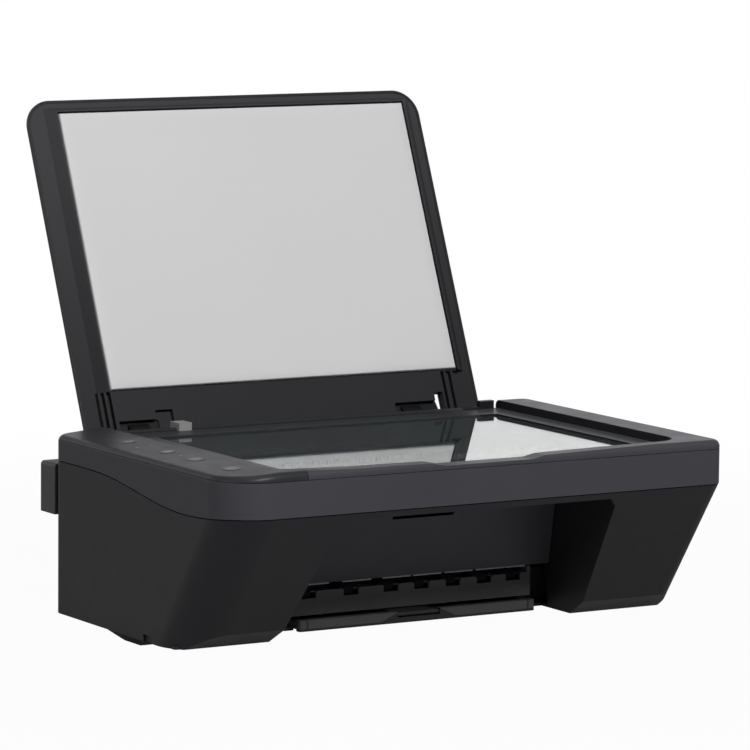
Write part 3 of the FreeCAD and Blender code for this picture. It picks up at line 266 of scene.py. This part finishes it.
# Motors: drawn steel cans with a plated skin and a dull rolled seam. They are pressed or screwed to the
# chassis and the scan slider.

dress(plated("can_plating", (0.46, 0.46, 0.47), 0.30, streak=(30.0, 1.0, 1.0), streak_size=0.006),
      "feed_motor", "carriage_motor", "scan_motor")


# Rollers: ground steel shafts with rubber tyres. The feed roller is grit coated instead, so its drum is a
# matt grey, and the pickup tyre has grip lines along it.

def roller(name, axis, shaft, tyre, tyre_rough, flutes=0, reach=0.2):
    """Shaft and tyre told apart by the distance from the axis, given by its y and z, and by the tyre's
    reach to each side; flutes are waves of the angle about the axis."""
    made, shader, place = finish(name)
    shaft_rough, rim = 0.22, 0.0002
    x, y, z = place.axis("X"), place.axis("Y") - axis[0], place.axis("Z") - axis[1]
    apart = (y * y + z * z) ** 0.5
    outside = apart.rise(shaft + rim / 4.0, shaft + rim)
    soft = outside * x.rise(reach + rim, reach) * x.rise(-reach - rim, -reach)
    rings = place.stretched(900.0, 1.0, 1.0).noise(1.0, 1.0)
    grit = place.noise(0.0007)
    height = grit * 0.3 + y.maths("ARCTAN2", y, z).wave(flutes) if flutes else grit
    ground = rings.paint((0.50, 0.50, 0.51), (0.66, 0.66, 0.67))
    feed(shader, Base_Color=soft.paint(ground, grit.paint(*shades(tyre, 0.3))), Metallic=1.0 - soft,
         Roughness=soft * (tyre_rough - shaft_rough) + shaft_rough + rings * 0.05, Specular_IOR_Level=0.25,
         Normal=(height * soft).bump(0.3))
    return made


dress(roller("pickup_tyre", (0.049, 0.0548), 0.0031, (0.030, 0.030, 0.031), 0.75, flutes=44, reach=0.0265),
      "pickup_roller")
dress(roller("feed_drum", (-0.0325, 0.0328), 0.0031, (0.30, 0.30, 0.30), 0.62), "feed_roller")
dress(roller("eject_tyres", (-0.081, 0.031), 0.0031, (0.016, 0.016, 0.017), 0.70), "eject_roller")
dress(roller("pinch_wheels", (-0.0315, 0.0418), 0.0013, (0.022, 0.022, 0.023), 0.45), "pinch_rollers")


# Gears and pulleys: undyed acetal, slightly waxy and translucent at the tooth tips, with faint rings from
# the mould face. They turn on pins and shafts of the chassis.

made, shader, place = finish("gear_acetal")
wax = place.noise(0.006, 3.0)
feed(shader, Base_Color=wax.paint((0.66, 0.645, 0.60), (0.78, 0.77, 0.73)), Roughness=wax * 0.2 + 0.36,
     Subsurface_Weight=0.08, Subsurface_Scale=0.0015, Specular_IOR_Level=0.5,
     Normal=place.noise(0.0015).bump(0.12, 0.0002))
dress(made, "feed_gear", "idler_gear", "motor_pinion", "eject_gear", "scan_pinion", "carriage_pulley",
      "carriage_idler")


# Paper path: the curved feed guide, the ribbed platen with its castellated exit edge, and the bar over it
# that carries the star wheels, whose plates end in a lip painted near white as the highlight on the holder's
# lower edge. All are moulded; paper has polished the ribs' tops.

part_grain = 0.0007


def rubbed(name, colour, rough, low, high):
    """Moulded plastic that paper has polished above a height: smoother and a little lighter there."""
    made, shader, place = finish(name)
    worn = place.axis("Z").rise(low, high) * place.noise(0.02, 3.0).rise(0.35, 0.6)
    plain = place.noise(0.05, 3.0).paint(*shades(colour, 0.12))
    polished = tuple(c * 1.5 for c in colour)
    feed(shader, Base_Color=worn.paint(plain, polished), Roughness=rough - worn * 0.2, Specular_IOR_Level=0.4,
         Normal=place.noise(part_grain).bump(0.1))
    return made


dress(rubbed("guide_plastic", (0.020, 0.020, 0.021), 0.5, 0.034, 0.037), "feed_guide")
dress(rubbed("platen_plastic", (0.150, 0.150, 0.156), 0.45, 0.0345, 0.0375), "print_platen")

lip_z = 0.0405
made, shader, place = finish("holder_plastic")
# The lip is a painted highlight: near white along the lower edge of the holder.
highlight_lip = place.axis("Z").rise(lip_z + 0.0003, lip_z)
flow = place.noise(0.03, 3.0)
bar_black = flow.paint((0.026, 0.026, 0.027), (0.034, 0.034, 0.035))
lip_highlight_white = flow.paint((0.76, 0.76, 0.76), (0.82, 0.82, 0.82))
feed(shader, Base_Color=highlight_lip.paint(bar_black, lip_highlight_white), Roughness=flow * 0.1 + 0.42, Specular_IOR_Level=0.4,
     Normal=place.noise(part_grain).bump(0.08))
dress(made, "star_wheel_holder")
dress(plated("star_steel", (0.60, 0.60, 0.60), 0.28), "star_wheels")


# Print head: a black carriage on the rail, two cartridges in its pockets and a pale lever before each. The
# grip face of the levers is ribbed, and the three inks of the colour tank show as chips of colour on its
# lid.

dress(moulded("carriage_plastic", (0.018, 0.018, 0.020), 0.46, grain=0.12), "carriage")
dress(moulded("lever_plastic", (0.50, 0.50, 0.50), 0.42, drift=0.05, grain=0.05), "lock_black", "lock_color")

tank_black, tank_lid, tank_seam = (0.020, 0.020, 0.021), (0.10, 0.10, 0.105), 0.0916
chip_half, chip_y0, chip_y1, chip_z0, chip_z1 = 0.0035, -0.050, -0.043, 0.0955, 0.097


def cartridge(name, chips):
    """Cartridge: a moulded tank, a paler lid above the seam and square chips of colour let into the lid."""
    made, shader, place = finish(name)
    flow = place.noise(0.03, 3.0)
    above = place.axis("Z").rise(tank_seam, tank_seam + 0.0003)
    skin = above.paint(flow.paint(*shades(tank_black, 0.12)), flow.paint(*shades(tank_lid, 0.08)))
    for x, colour in chips:
        chip = inside(place, (x - chip_half, chip_y0, chip_z0), (x + chip_half, chip_y1, chip_z1))
        skin = chip.paint(skin, colour)
    feed(shader, Base_Color=skin, Roughness=flow * 0.15 + 0.36, Specular_IOR_Level=0.4,
         Normal=place.noise(part_grain).bump(0.08))
    return made


dress(cartridge("black_tank", [(0.13325, (0.010, 0.010, 0.010))]), "cartridge_black")
dress(cartridge("color_tank", [(0.17075, (0.02, 0.26, 0.52)), (0.18075, (0.50, 0.03, 0.18)),
                               (0.19075, (0.70, 0.52, 0.02))]), "cartridge_color")


# Carriage belt: a thin toothed loop of cord-reinforced rubber round the two pulleys. The teeth are on the
# inside, two millimetres apart.

def cells(index):
    """Every cell between the lines of a grid of point numbers, as one quad."""
    return np.stack([index[:-1, :-1], index[:-1, 1:], index[1:, 1:], index[1:, :-1]], -1).reshape(-1, 4)


def new_piece(name, points, faces):
    """A new object at the origin with these points and faces."""
    mesh = bpy.data.meshes.new(name)
    mesh.from_pydata(points, [], faces)
    mesh.update()
    piece = bpy.data.objects.new(name, mesh)
    bpy.context.scene.collection.objects.link(piece)
    return piece


def belt_loop(half, radius, y0, y1, height, thick, pitch, tooth):
    """Loop of two straights and two half circles, walked at even steps of its length. The profile across it
    is a rectangle; its inner side moves in by a rounded square wave of the way walked, which makes the
    teeth."""
    straight, turn = 2.0 * half, math.pi * radius
    length = 2.0 * (straight + turn)
    teeth = round(length / pitch)
    steps = teeth * 6
    walk = np.arange(steps) * length / steps
    lap = walk % (straight + turn)
    side = np.where(walk < straight + turn, 1.0, -1.0)
    angle = np.clip((lap - straight) / radius, 0.0, math.pi)
    x = side * (np.minimum(lap, straight) - half + radius * np.sin(angle))
    z = side * radius * np.cos(angle)
    nx, nz = side * np.sin(angle), side * np.cos(angle)
    wave = np.clip(2.2 * np.sin(2.0 * math.pi * walk * teeth / length), -1.0, 1.0)
    deep = -thick / 2.0 - tooth * (0.5 + 0.5 * wave)
    back = np.full_like(deep, thick / 2.0)
    rise = np.stack([deep, deep, back, back], 1)
    across = np.broadcast_to(np.array([y0, y1, y1, y0]), rise.shape)
    return np.stack([x[:, None] + nx[:, None] * rise, across, height + z[:, None] + nz[:, None] * rise], -1)


loop = belt_loop(half=0.188, radius=0.0060, y0=-0.003, y1=0.0015, height=0.072, thick=0.001, pitch=0.00203,
                 tooth=0.0004)
closed = np.pad(np.arange(loop.size // 3).reshape(loop.shape[:2]), (0, 1), mode="wrap")
belt = new_piece("toothed_belt", loop.reshape(-1, 3).tolist(), cells(closed).tolist())
made, shader, place = finish("belt_rubber")
ply = place.stretched(1.0, 40.0, 1.0).noise(0.006, 2.0)
feed(shader, Base_Color=ply.paint((0.010, 0.010, 0.010), (0.026, 0.026, 0.026)), Roughness=ply * 0.2 + 0.6,
     Specular_IOR_Level=0.3, Normal=ply.bump(0.2, 0.0002))
belt.data.materials.append(made)
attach(belt, "body")
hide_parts("carriage_belt")


# Encoder strip: clear film printed with hair lines that the carriage counts. It is hooked at both ends of
# the chassis, and its upper and lower edges are left clear.

line_pitch, lines_z0, lines_z1 = 0.0006, 0.0878, 0.0912
made, shader, place = finish("encoder_film")
bars = place.axis("X").wave(2.0 * math.pi / line_pitch).rise(-0.2, 0.2)
height = place.axis("Z")
edge = height.rise(lines_z1, lines_z1 + 0.0002) + height.rise(lines_z0, lines_z0 - 0.0002)
feed(shader, Base_Color=(bars * (1.0 - edge)).paint((0.46, 0.46, 0.42), (0.05, 0.05, 0.05)),
     Roughness=place.noise(0.02) * 0.1 + 0.12, Specular_IOR_Level=0.5)
dress(made, "encoder_strip")


# Park station: a dark moulded tub with two soft nozzle caps and a wiper blade, at the right end of the
# carriage's run. Ink mist has stained it.

cap_z = 0.0332
made, shader, place = finish("park_plastic")
cap = place.axis("Z").rise(cap_z, cap_z + 0.0004)
ink = place.noise(0.006, 4.0).rise(0.55, 0.7)
stained = ink.paint((0.060, 0.060, 0.063), (0.020, 0.020, 0.034))
feed(shader, Base_Color=cap.paint(stained, (0.022, 0.022, 0.022)), Roughness=cap * 0.25 + 0.45 - ink * 0.15,
     Normal=place.noise(0.0008).bump(0.1))
dress(made, "maintenance_unit")


# Waste absorber: two layers of pressed felt that lie loose in the pan behind the park station. The edges
# are soft from the cutting die and the top has dips where ink has soaked in.

turned_over = [0, 3, 2, 1]


def pillow(name, layers, lay):
    """Closed pads over a rectangle. Lines crowd towards the edges. The height over the base is a rounded
    shoulder of the distance from the nearest edge, times the thickness less a product of two slow waves.
    The base is flat."""
    points, faces, count = [], [], 0
    for x0, x1, y0, y1, base, thick, shoulder, dip in layers:
        edge = shoulder * (1.0 - np.cos(np.linspace(0.0, math.pi / 2.0, 7)))
        x, y = [np.concatenate([a + edge, np.linspace(a + shoulder, b - shoulder, lines)[1:-1],
                                (b - edge)[::-1]]) for a, b, lines in ((x0, x1, 42), (y0, y1, 34))]
        px, py = np.meshgrid(x, y, indexing="ij")
        near = np.minimum(np.minimum(px - x0, x1 - px), np.minimum(py - y0, y1 - py))
        gone = np.clip(1.0 - near / shoulder, 0.0, 1.0)
        swell = np.sin(9.0 * (px - x0) / (x1 - x0) + 1.0) * np.sin(7.0 * (py - y0) / (y1 - y0) + 2.0)
        crown = np.sqrt(np.clip(1.0 - gone * gone, 0.0, 1.0))
        top = base + crown * (thick - dip * (0.5 + 0.5 * swell))
        rows, columns = px.shape
        index = count + np.arange(rows * columns).reshape(rows, columns)
        rim = np.zeros((rows, columns), bool)
        rim[[0, -1], :] = rim[:, [0, -1]] = True
        under = np.where(rim, index, index + rows * columns)
        faces += [cells(grid)[:, turned_over] for grid in (index, under[:, ::-1])]
        points += [np.stack([px, py, z], -1).reshape(-1, 3) for z in (top, np.full_like(top, base))]
        count += 2 * rows * columns
    used, faces = np.unique(np.vstack(faces), return_inverse=True)
    piece = new_piece(name, lay(np.vstack(points)[used]).tolist(), faces.reshape(-1, 4).tolist())
    piece.data.polygons.foreach_set("use_smooth", np.ones(len(piece.data.polygons), bool))
    piece.data.update()
    return piece


felt_low, felt_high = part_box("waste_absorber")
layer = (felt_high.z - felt_low.z) / 2.0
felt_gap, felt_shoulder, felt_dip = 0.0001, 0.0022, 0.0012
felt = pillow("felt_layers", [(felt_low.x, felt_high.x, felt_low.y, felt_high.y, felt_low.z + k * layer,
                               layer - felt_gap, felt_shoulder, felt_dip) for k in (0, 1)],
              lambda points: points)
made, shader, place = finish("felt_fibre")
fibre = place.stretched(1.0, 1.0, 0.25).noise(0.0009, 4.0)
soak = place.noise(0.016, 3.0).rise(0.45, 0.62)
feed(shader, Base_Color=soak.paint(fibre.paint((0.50, 0.48, 0.42), (0.70, 0.68, 0.62)), (0.10, 0.10, 0.16)),
     Roughness=0.92 - soak * 0.1, Sheen_Weight=0.3, Specular_IOR_Level=0.2, Normal=fibre.bump(0.6, 0.0006))
felt.data.materials.append(made)
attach(felt, "body")
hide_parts("waste_absorber")


# Main case and front cover: satin black mouldings with a fine grain. The case drops over the pan; the cover
# leans back between the wings on two stub pins.

dress(moulded("case_plastic", (0.0255, 0.0257, 0.0290), 0.46, level=0.25), "main_case")
dress(moulded("cover_plastic", (0.064, 0.062, 0.077), 0.46, level=0.5), "access_cover")


# Output tray: a plain black slide under the exit with a smoother front bar, and a small paper stop hinged
# in the middle of the bar. Painted shade darkens the bar's foot, a line near each end for the shadow of a
# groove, and a patch in the middle, wider below, for the shade of a thumb scoop.

def barred(name, colour, bar_colour, front, back, groove_x, foot, scoop_x, scoop_lean):
    """Moulded plastic whose front bar, nearer than this y, is a smoother and lighter face. Painted shade
    darkens on it the part below the foot's height, a line at a given distance from the middle for the shadow
    of a groove, and a patch that widens below from a given offset for the shade of a thumb scoop."""
    made, shader, place = finish(name)
    bar = place.axis("Y").rise(back, front)
    flow = place.noise(0.06, 3.0)
    scuff = place.stretched(0.2, 1.0, 1.0).noise(0.003, 4.0)
    height = place.axis("Z")
    off = height.maths("ABSOLUTE", place.axis("X"), 0.0)
    groove_shadow = off.rise(groove_x - 0.0010, groove_x - 0.0006) * off.rise(groove_x + 0.0010, groove_x + 0.0006)
    scoop_shade = (off + height * scoop_lean).rise(scoop_x + 0.001, scoop_x - 0.001)
    foot_shade = height.rise(foot + 0.0003, foot - 0.0003)
    # Painted shade: the bar's foot, the shadow of a groove near each end and the shade of a thumb scoop.
    painted_shade = groove_shadow.maths("MAXIMUM", groove_shadow.maths("MAXIMUM", groove_shadow, scoop_shade), foot_shade)
    face = painted_shade.paint(scuff.paint(*shades(bar_colour, 0.14)), (0.016, 0.016, 0.017))
    feed(shader, Base_Color=bar.paint(flow.paint(*shades(colour, 0.1)), face),
         Roughness=0.5 - bar * 0.12 + scuff * 0.08, Specular_IOR_Level=0.45,
         Normal=place.noise(part_grain).bump(0.08))
    return made


dress(barred("tray_plastic", (0.026, 0.026, 0.028), (0.060, 0.060, 0.063), front=-0.1120, back=-0.1105,
             groove_x=0.0970, foot=0.0106, scoop_x=0.0569, scoop_lean=2.26), "output_tray")
dress(moulded("flap_plastic", (0.030, 0.030, 0.032), 0.42), "tray_flap")


# Rear tray: the hump across the back with the paper slot, its fold-up back rest and two sliding width
# guides. All are moulded; the guides are a dark grey that tells them from the tray.

dress(moulded("rear_plastic", (0.066, 0.066, 0.0680), 0.48, grain=0.13), "rear_tray", "paper_support")
dress(moulded("width_guide_plastic", (0.085, 0.085, 0.088), 0.44, drift=0.08),
      "paper_guide_left", "paper_guide_right")


# Scanner: the tub with the swept lower edge and the top frame round the glass, in a slightly lighter satin
# black than the case. The frame is snapped onto the tub. Its steep walls on the right carry painted shade,
# and its ledge behind the glass the lid's painted shade and reflection, both darker over the frame's own
# tone.

band_black, wall_shade_black, ledge_shade_black = (0.0595, 0.0590, 0.0685), (0.016, 0.016, 0.0175), (0.027, 0.028, 0.030)
walls_x0, walls_x1, walls_y0, walls_y1 = 0.150, 0.1855, -0.1960, 0.120
dress(moulded("band_plastic", band_black, 0.42, level=0.18), "scanner_tub")

made = moulded("top_plastic", band_black, 0.36, level=0.15)
shader = made.node_tree.nodes["Principled BSDF"]
tone = Wire(made.node_tree, shader.inputs["Base Color"].links[0].from_socket)
place = tone.node("TexCoord", {}, {}, "Object")
# Painted shade on the steep right walls, and the lid's painted shade and reflection on the ledge behind the
# glass.
shaded_walls = sum(inside(place, (walls_x0, walls_y0, z0), (walls_x1, walls_y1, z1))
            for z0, z1 in ((0.1381, 0.1441), (0.1000, 0.1377)))
shaded_ledge = place.axis("Y").rise(0.036, 0.042) * (1.0 - place.axis("X").rise(0.12, 0.165))
feed(shader, Base_Color=shaded_ledge.paint(shaded_walls.paint(tone, wall_shade_black), ledge_shade_black))
dress(made, "scanner_top")

dress(plated("rod_steel", (0.62, 0.62, 0.63), 0.2, streak=(0.05, 1.0, 1.0), streak_size=0.0008), "scan_rod")


# Scan bar: a black carrier that slides on the rod under the glass. A contact sensor in its top shows as a
# glassy pale strip along it.

lens_low, lens_high, carrier_top = (-0.1702, -0.1800, 0.1328), (-0.1678, 0.0410, 0.1336), 0.1247
made, shader, place = finish("sensor_plastic")
strip = place.axis("Z").rise(carrier_top, carrier_top + 0.0002)
flow = place.noise(0.02, 3.0)
carrier = strip.paint(flow.paint((0.014, 0.014, 0.015), (0.022, 0.022, 0.024)), (0.035, 0.037, 0.040))
feed(shader, Base_Color=inside(place, lens_low, lens_high).paint(carrier, (0.30, 0.33, 0.34)),
     Roughness=0.5 - strip * 0.38, Specular_IOR_Level=0.5, Normal=place.noise(0.0008).bump(0.06))
dress(made, "scan_bar")


# Platen glass: clear float glass bonded under the frame. It has the green of its iron at the edges, and
# wiping has left faint smears and a thin film of dust.

def mix_in(made, shader, share, other):
    """Show this share of another shader in place of the Principled one."""
    tree = made.node_tree
    mixed = share.node("MixShader", {}, {0: share, 1: Wire(tree, shader.outputs[0]), 2: other})
    tree.links.new(mixed.socket, tree.nodes["Material Output"].inputs["Surface"])


made, shader, place = finish("float_glass")
smear = place.stretched(1.0, 0.3, 1.0).noise(0.05, 4.0)
feed(shader, Base_Color=smear.paint((0.93, 0.965, 0.95), (0.95, 0.975, 0.965)),
     Roughness=smear.rise(0.5, 0.75) * 0.004 + 0.002, Transmission_Weight=1.0, IOR=1.52)
dust = place.node("BsdfDiffuse", {}, {"Color": (0.42, 0.50, 0.52, 1.0)})
mix_in(made, shader, smear * 0.02 + 0.025, dust)
dress(made, "platen_glass")


# Operation panel: the left side of the frame, moulded in one with the front corner and finished smoother,
# with a board under it whose light pipes end in the lamp holes.

dress(moulded("panel_plastic", (0.030, 0.0303, 0.0350), 0.36, grain=0.05, level=0.20, coat=0.01),
      "operation_panel")

switch_z, pipe_z = 0.1300, 0.1353
made, shader, place = finish("panel_laminate")
height = place.axis("Z")
switch, pipe = height.rise(switch_z, switch_z + 0.0002), height.rise(pipe_z, pipe_z + 0.0003)
lot = place.noise(0.01, 1.0)
fitted = switch.paint(lot.paint((0.006, 0.060, 0.024), (0.016, 0.105, 0.045)), (0.030, 0.030, 0.032))
feed(shader, Base_Color=pipe.paint(fitted, lot.paint((0.60, 0.62, 0.62), (0.72, 0.74, 0.74))),
     Roughness=0.4 - pipe * 0.2 + lot * 0.05, Specular_IOR_Level=0.5, Normal=lot.bump(0.1, 0.0002))
dress(made, "panel_board")


# Keys: four smooth caps with pale symbols printed on their crowns: standby, stop, and a start sign for
# black and for colour copies. The ink stands a few hundredths of a millimetre proud.

dress(moulded("key_plastic", (0.030, 0.030, 0.033), 0.32, grain=0.03, level=0.4, coat=0.08),
      "power_button", "stop_button", "black_button", "color_button")

key_ink, shader, place = finish("key_ink")
worn = place.noise(0.0006, 3.0)
feed(shader, Base_Color=worn.paint((0.34, 0.34, 0.34), (0.50, 0.50, 0.50)), Roughness=worn * 0.2 + 0.4)

key_x, panel_edge, panel_high, panel_fall, key_lift = -0.189, -0.1717, 0.1445, 0.085, 0.00035
power_y, stop_y, black_y, color_y = -0.006, -0.067, -0.110, -0.164
ink_low, ink_high, thin, bold = -0.00003, 0.00005, 0.0005, 0.0006


def on_crown(points):
    """Plan points and a height over the crown, carried onto the key tops' plane, which falls outwards."""
    x, y, rise = points[..., 0], points[..., 1], points[..., 2]
    return np.stack([x, y, panel_high - (panel_edge - x) * panel_fall + key_lift + rise], -1)


def stroke(path, width):
    """Printed line: a flat rectangle carried along a plan path."""
    path = np.asarray(path, float)
    run = np.gradient(path, axis=0)
    run /= np.linalg.norm(run, axis=1)[:, None]
    side = np.stack([-run[:, 1], run[:, 0]], 1) * width / 2.0
    low, high = np.full((len(path), 1), ink_low), np.full((len(path), 1), ink_high)
    corners = ((1, low), (-1, low), (-1, high), (1, high))
    return on_crown(np.stack([np.hstack([path + s * side, rise]) for s, rise in corners], 1))


def arc(x, y, radius, start, stop, count=28):
    """Points of a circle from one angle to another, in degrees from the back of the panel."""
    turn = np.radians(np.linspace(start, stop, count))
    return np.stack([x + radius * np.sin(turn), y + radius * np.cos(turn)], 1)


def printed(name, paths, width, body):
    """One key's symbol: its strokes joined in one mesh, each closed by end faces, in pale ink."""
    points, faces, count = [], [], 0
    for path in paths:
        grid = stroke(path, width)
        index = count + np.arange(len(grid) * 4).reshape(-1, 4)
        faces += cells(np.hstack([index, index[:, :1]]))[:, turned_over].tolist()
        faces += [index[0].tolist(), index[-1, ::-1].tolist()]
        points.append(grid.reshape(-1, 3))
        count += index.size
    piece = new_piece(name, np.vstack(points).tolist(), faces)
    piece.data.materials.append(key_ink)
    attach(piece, body)


printed("standby_sign", [arc(key_x, power_y, 0.0026, 40, 320),
                         [(key_x, power_y + 0.0008), (key_x, power_y + 0.0034)]], bold, "power_key")
printed("stop_sign", [arc(key_x, stop_y, 0.0029, 0, 359.5, 40), arc(key_x, stop_y, 0.0018, 90, 450, 4)],
        thin, "stop_key")
for name, y, body in (("black_start_sign", black_y, "black_key"), ("color_start_sign", color_y, "color_key")):
    printed(name, [arc(key_x, y, 0.0034, 0, 360, 5), [(key_x, y - 0.0013), (key_x, y + 0.0013)]], thin, body)


# Lid: a crowned outer shell and a liner with the pad's frame, both satin black, the liner paler and a little
# smoother higher up the open lid. The hinge arms are screwed between them, and the arms' stub axles snap into
# forked posts.

dress(moulded("lid_plastic", (0.022, 0.022, 0.024), 0.42, level=0.25), "lid_cover")
dress(moulded("hinge_plastic", (0.010, 0.010, 0.0105), 0.46, level=0.2), "lid_hinges", "hinge_posts")
dress(moulded("clip_plastic", (0.30, 0.30, 0.30), 0.4, drift=0.05, grain=0.04), "hinge_clip")

made, shader, place = finish("liner_plastic")
# The liner grows paler and a little smoother from 0.11 m to 0.44 m above the floor.
higher_up = place.axis("Z").rise(0.11, 0.44)
flow = place.noise(flow_size, 3.0)
liner_black, upper_black = [flow.paint(*shades(colour, 0.1))
                              for colour in ((0.0205, 0.0202, 0.0224), (0.048, 0.0475, 0.0510))]
feed(shader, Base_Color=higher_up.paint(liner_black, upper_black), Roughness=0.5 - higher_up * 0.06,
     Specular_IOR_Level=0.18, Normal=place.noise(0.0006).bump(0.1))
dress(made, "lid_liner")


# Pressing pad: pale grey film on a few millimetres of foam, stuck into the liner's frame. The film is even,
# with the faintest swell of the foam under it.

hinge_y, hinge_z, lid_turn = 0.0813, 0.13288, math.radians(-113.2)
pad_x0, pad_x1, pad_y0, pad_y1, pad_face, pad_back = -0.1468, 0.1661, -0.1852, 0.0412, 0.1383, 0.1418
pad_shoulder, pad_dip = 0.0012, 0.00022


def on_open_lid(points):
    """Points of the closed lid, face down, turned about the hinge line to the open lid."""
    dy, dz = points[:, 1] - hinge_y, pad_back - points[:, 2] - hinge_z
    turned_y = dy * math.cos(lid_turn) - dz * math.sin(lid_turn)
    turned_z = dy * math.sin(lid_turn) + dz * math.cos(lid_turn)
    return np.stack([points[:, 0], hinge_y + turned_y, hinge_z + turned_z], 1)


pad = pillow("pressing_pad", [(pad_x0, pad_x1, pad_y0, pad_y1, 0.0, pad_back - pad_face, pad_shoulder,
                               pad_dip)], on_open_lid)
pad.data.flip_normals()
made, shader, place = finish("pad_film")
even = place.noise(0.16, 2.0)
fibre = place.noise(0.0012, 3.0)
feed(shader, Base_Color=even.paint((0.640, 0.640, 0.640), (0.672, 0.672, 0.672)),
     Roughness=fibre * 0.12 + 0.52, Specular_IOR_Level=0.3, Normal=fibre.bump(0.05, 0.0002))
pad.data.materials.append(made)
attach(pad, "lid")
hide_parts("lid_pad")


# Studio: a pale sweep with soft boxes in front, to the left and above. The sweep reads white to the eye, to
# glossy surfaces and through glass, and keeps the object's shadow.

def ray_kinds(wire):
    """Whether a ray comes from the camera, from gloss or through glass, as three wires of 0 or 1."""
    kinds = ("Camera", "Glossy", "Transmission")
    return [wire.node("LightPath", {}, {}, "Is %s Ray" % kind) for kind in kinds]


scene = bpy.context.scene
scene.view_settings.view_transform = "Standard"
white = (1.0, 1.0, 1.0, 1.0)

floor_half = 9.0
corners = [(x * floor_half, y * floor_half, 0.0) for x, y in ((-1, -1), (1, -1), (1, 1), (-1, 1))]
floor = new_piece("studio_floor", corners, [(0, 1, 2, 3)])
near_white, in_gloss, in_glass = 0.97, 0.17, 0.90
made, shader, place = finish("sweep_paper")
feed(shader, Base_Color=(0.28, 0.28, 0.28), Roughness=0.9, Specular_IOR_Level=0.0)
seen, glossy, through = ray_kinds(place)
off = (place.axis("X") ** 2.0 + place.axis("Y") ** 2.0).rise(0.1, 1.4)
glow = place.node("Emission", {}, {"Color": white, "Strength": 1.0})
shown = seen * (off * (1.0 - near_white) + near_white) + glossy * in_gloss + through * in_glass
mix_in(made, shader, shown, glow)
floor.data.materials.append(made)

fill, sky = 0.10, 0.91
world = bpy.data.worlds.new("studio_air")
world.use_nodes = True
scene.world = world
tree = world.node_tree
tree.nodes.clear()
toward = Wire(tree, None).node("TexCoord", {}, {}, "Generated")
seen, glossy, through = ray_kinds(toward)
behind = toward.axis("Y").rise(0.1, 0.5) * toward.axis("Z").rise(0.62, 0.22)
shown = seen + (glossy + through) * (behind * (sky - fill) + fill)
strength = shown + (1.0 - seen - glossy - through) * fill
air = toward.node("Background", {}, {"Color": white, "Strength": strength})
out = tree.nodes.new("ShaderNodeOutputWorld")
tree.links.new(air.socket, out.inputs["Surface"])


def soft_box(name, spot, aim, wide, tall, watts):
    """Rectangular soft light at a spot, facing the aim."""
    lamp = bpy.data.lights.new(name, "AREA")
    lamp.shape = "RECTANGLE"
    lamp.size, lamp.size_y, lamp.energy = wide, tall, watts
    placed = bpy.data.objects.new(name, lamp)
    scene.collection.objects.link(placed)
    placed.location = spot
    placed.rotation_euler = (Vector(aim) - Vector(spot)).to_track_quat("-Z", "Y").to_euler()


middle = (0.0, 0.0, 0.15)
soft_box("front_box", (-0.25, -2.6, 2.4), middle, wide=1.6, tall=1.0, watts=94)
soft_box("left_box", (-2.8, -0.2, 1.3), middle, wide=1.2, tall=1.2, watts=11)
soft_box("top_box", (0.0, 0.4, 3.0), middle, wide=1.6, tall=1.2, watts=8)

azimuth, elevation, roll, focal_pixels, photo_pixels = 30.83, 7.09, 0.54, 4916.0, 750.0
camera_spot = (-1.9006, -3.2329, 0.6490)
az, el, turn = (math.radians(a) for a in (azimuth, elevation, roll))
ahead = np.array([math.sin(az) * math.cos(el), math.cos(az) * math.cos(el), -math.sin(el)])
level_right = np.array([math.cos(az), -math.sin(az), 0.0])
level_up = np.cross(level_right, ahead)
right = math.cos(turn) * level_right + math.sin(turn) * level_up
up = math.cos(turn) * level_up - math.sin(turn) * level_right
lens = bpy.data.cameras.new("photo_camera")
lens.sensor_width = 36.0
lens.lens = lens.sensor_width * focal_pixels / photo_pixels
lens.clip_end = 50.0
camera = bpy.data.objects.new("photo_camera", lens)
scene.collection.objects.link(camera)
pose = np.eye(4)
pose[:3] = np.stack([right, up, -ahead, camera_spot], 1)
camera.matrix_world = Matrix(pose.tolist())
scene.camera = camera
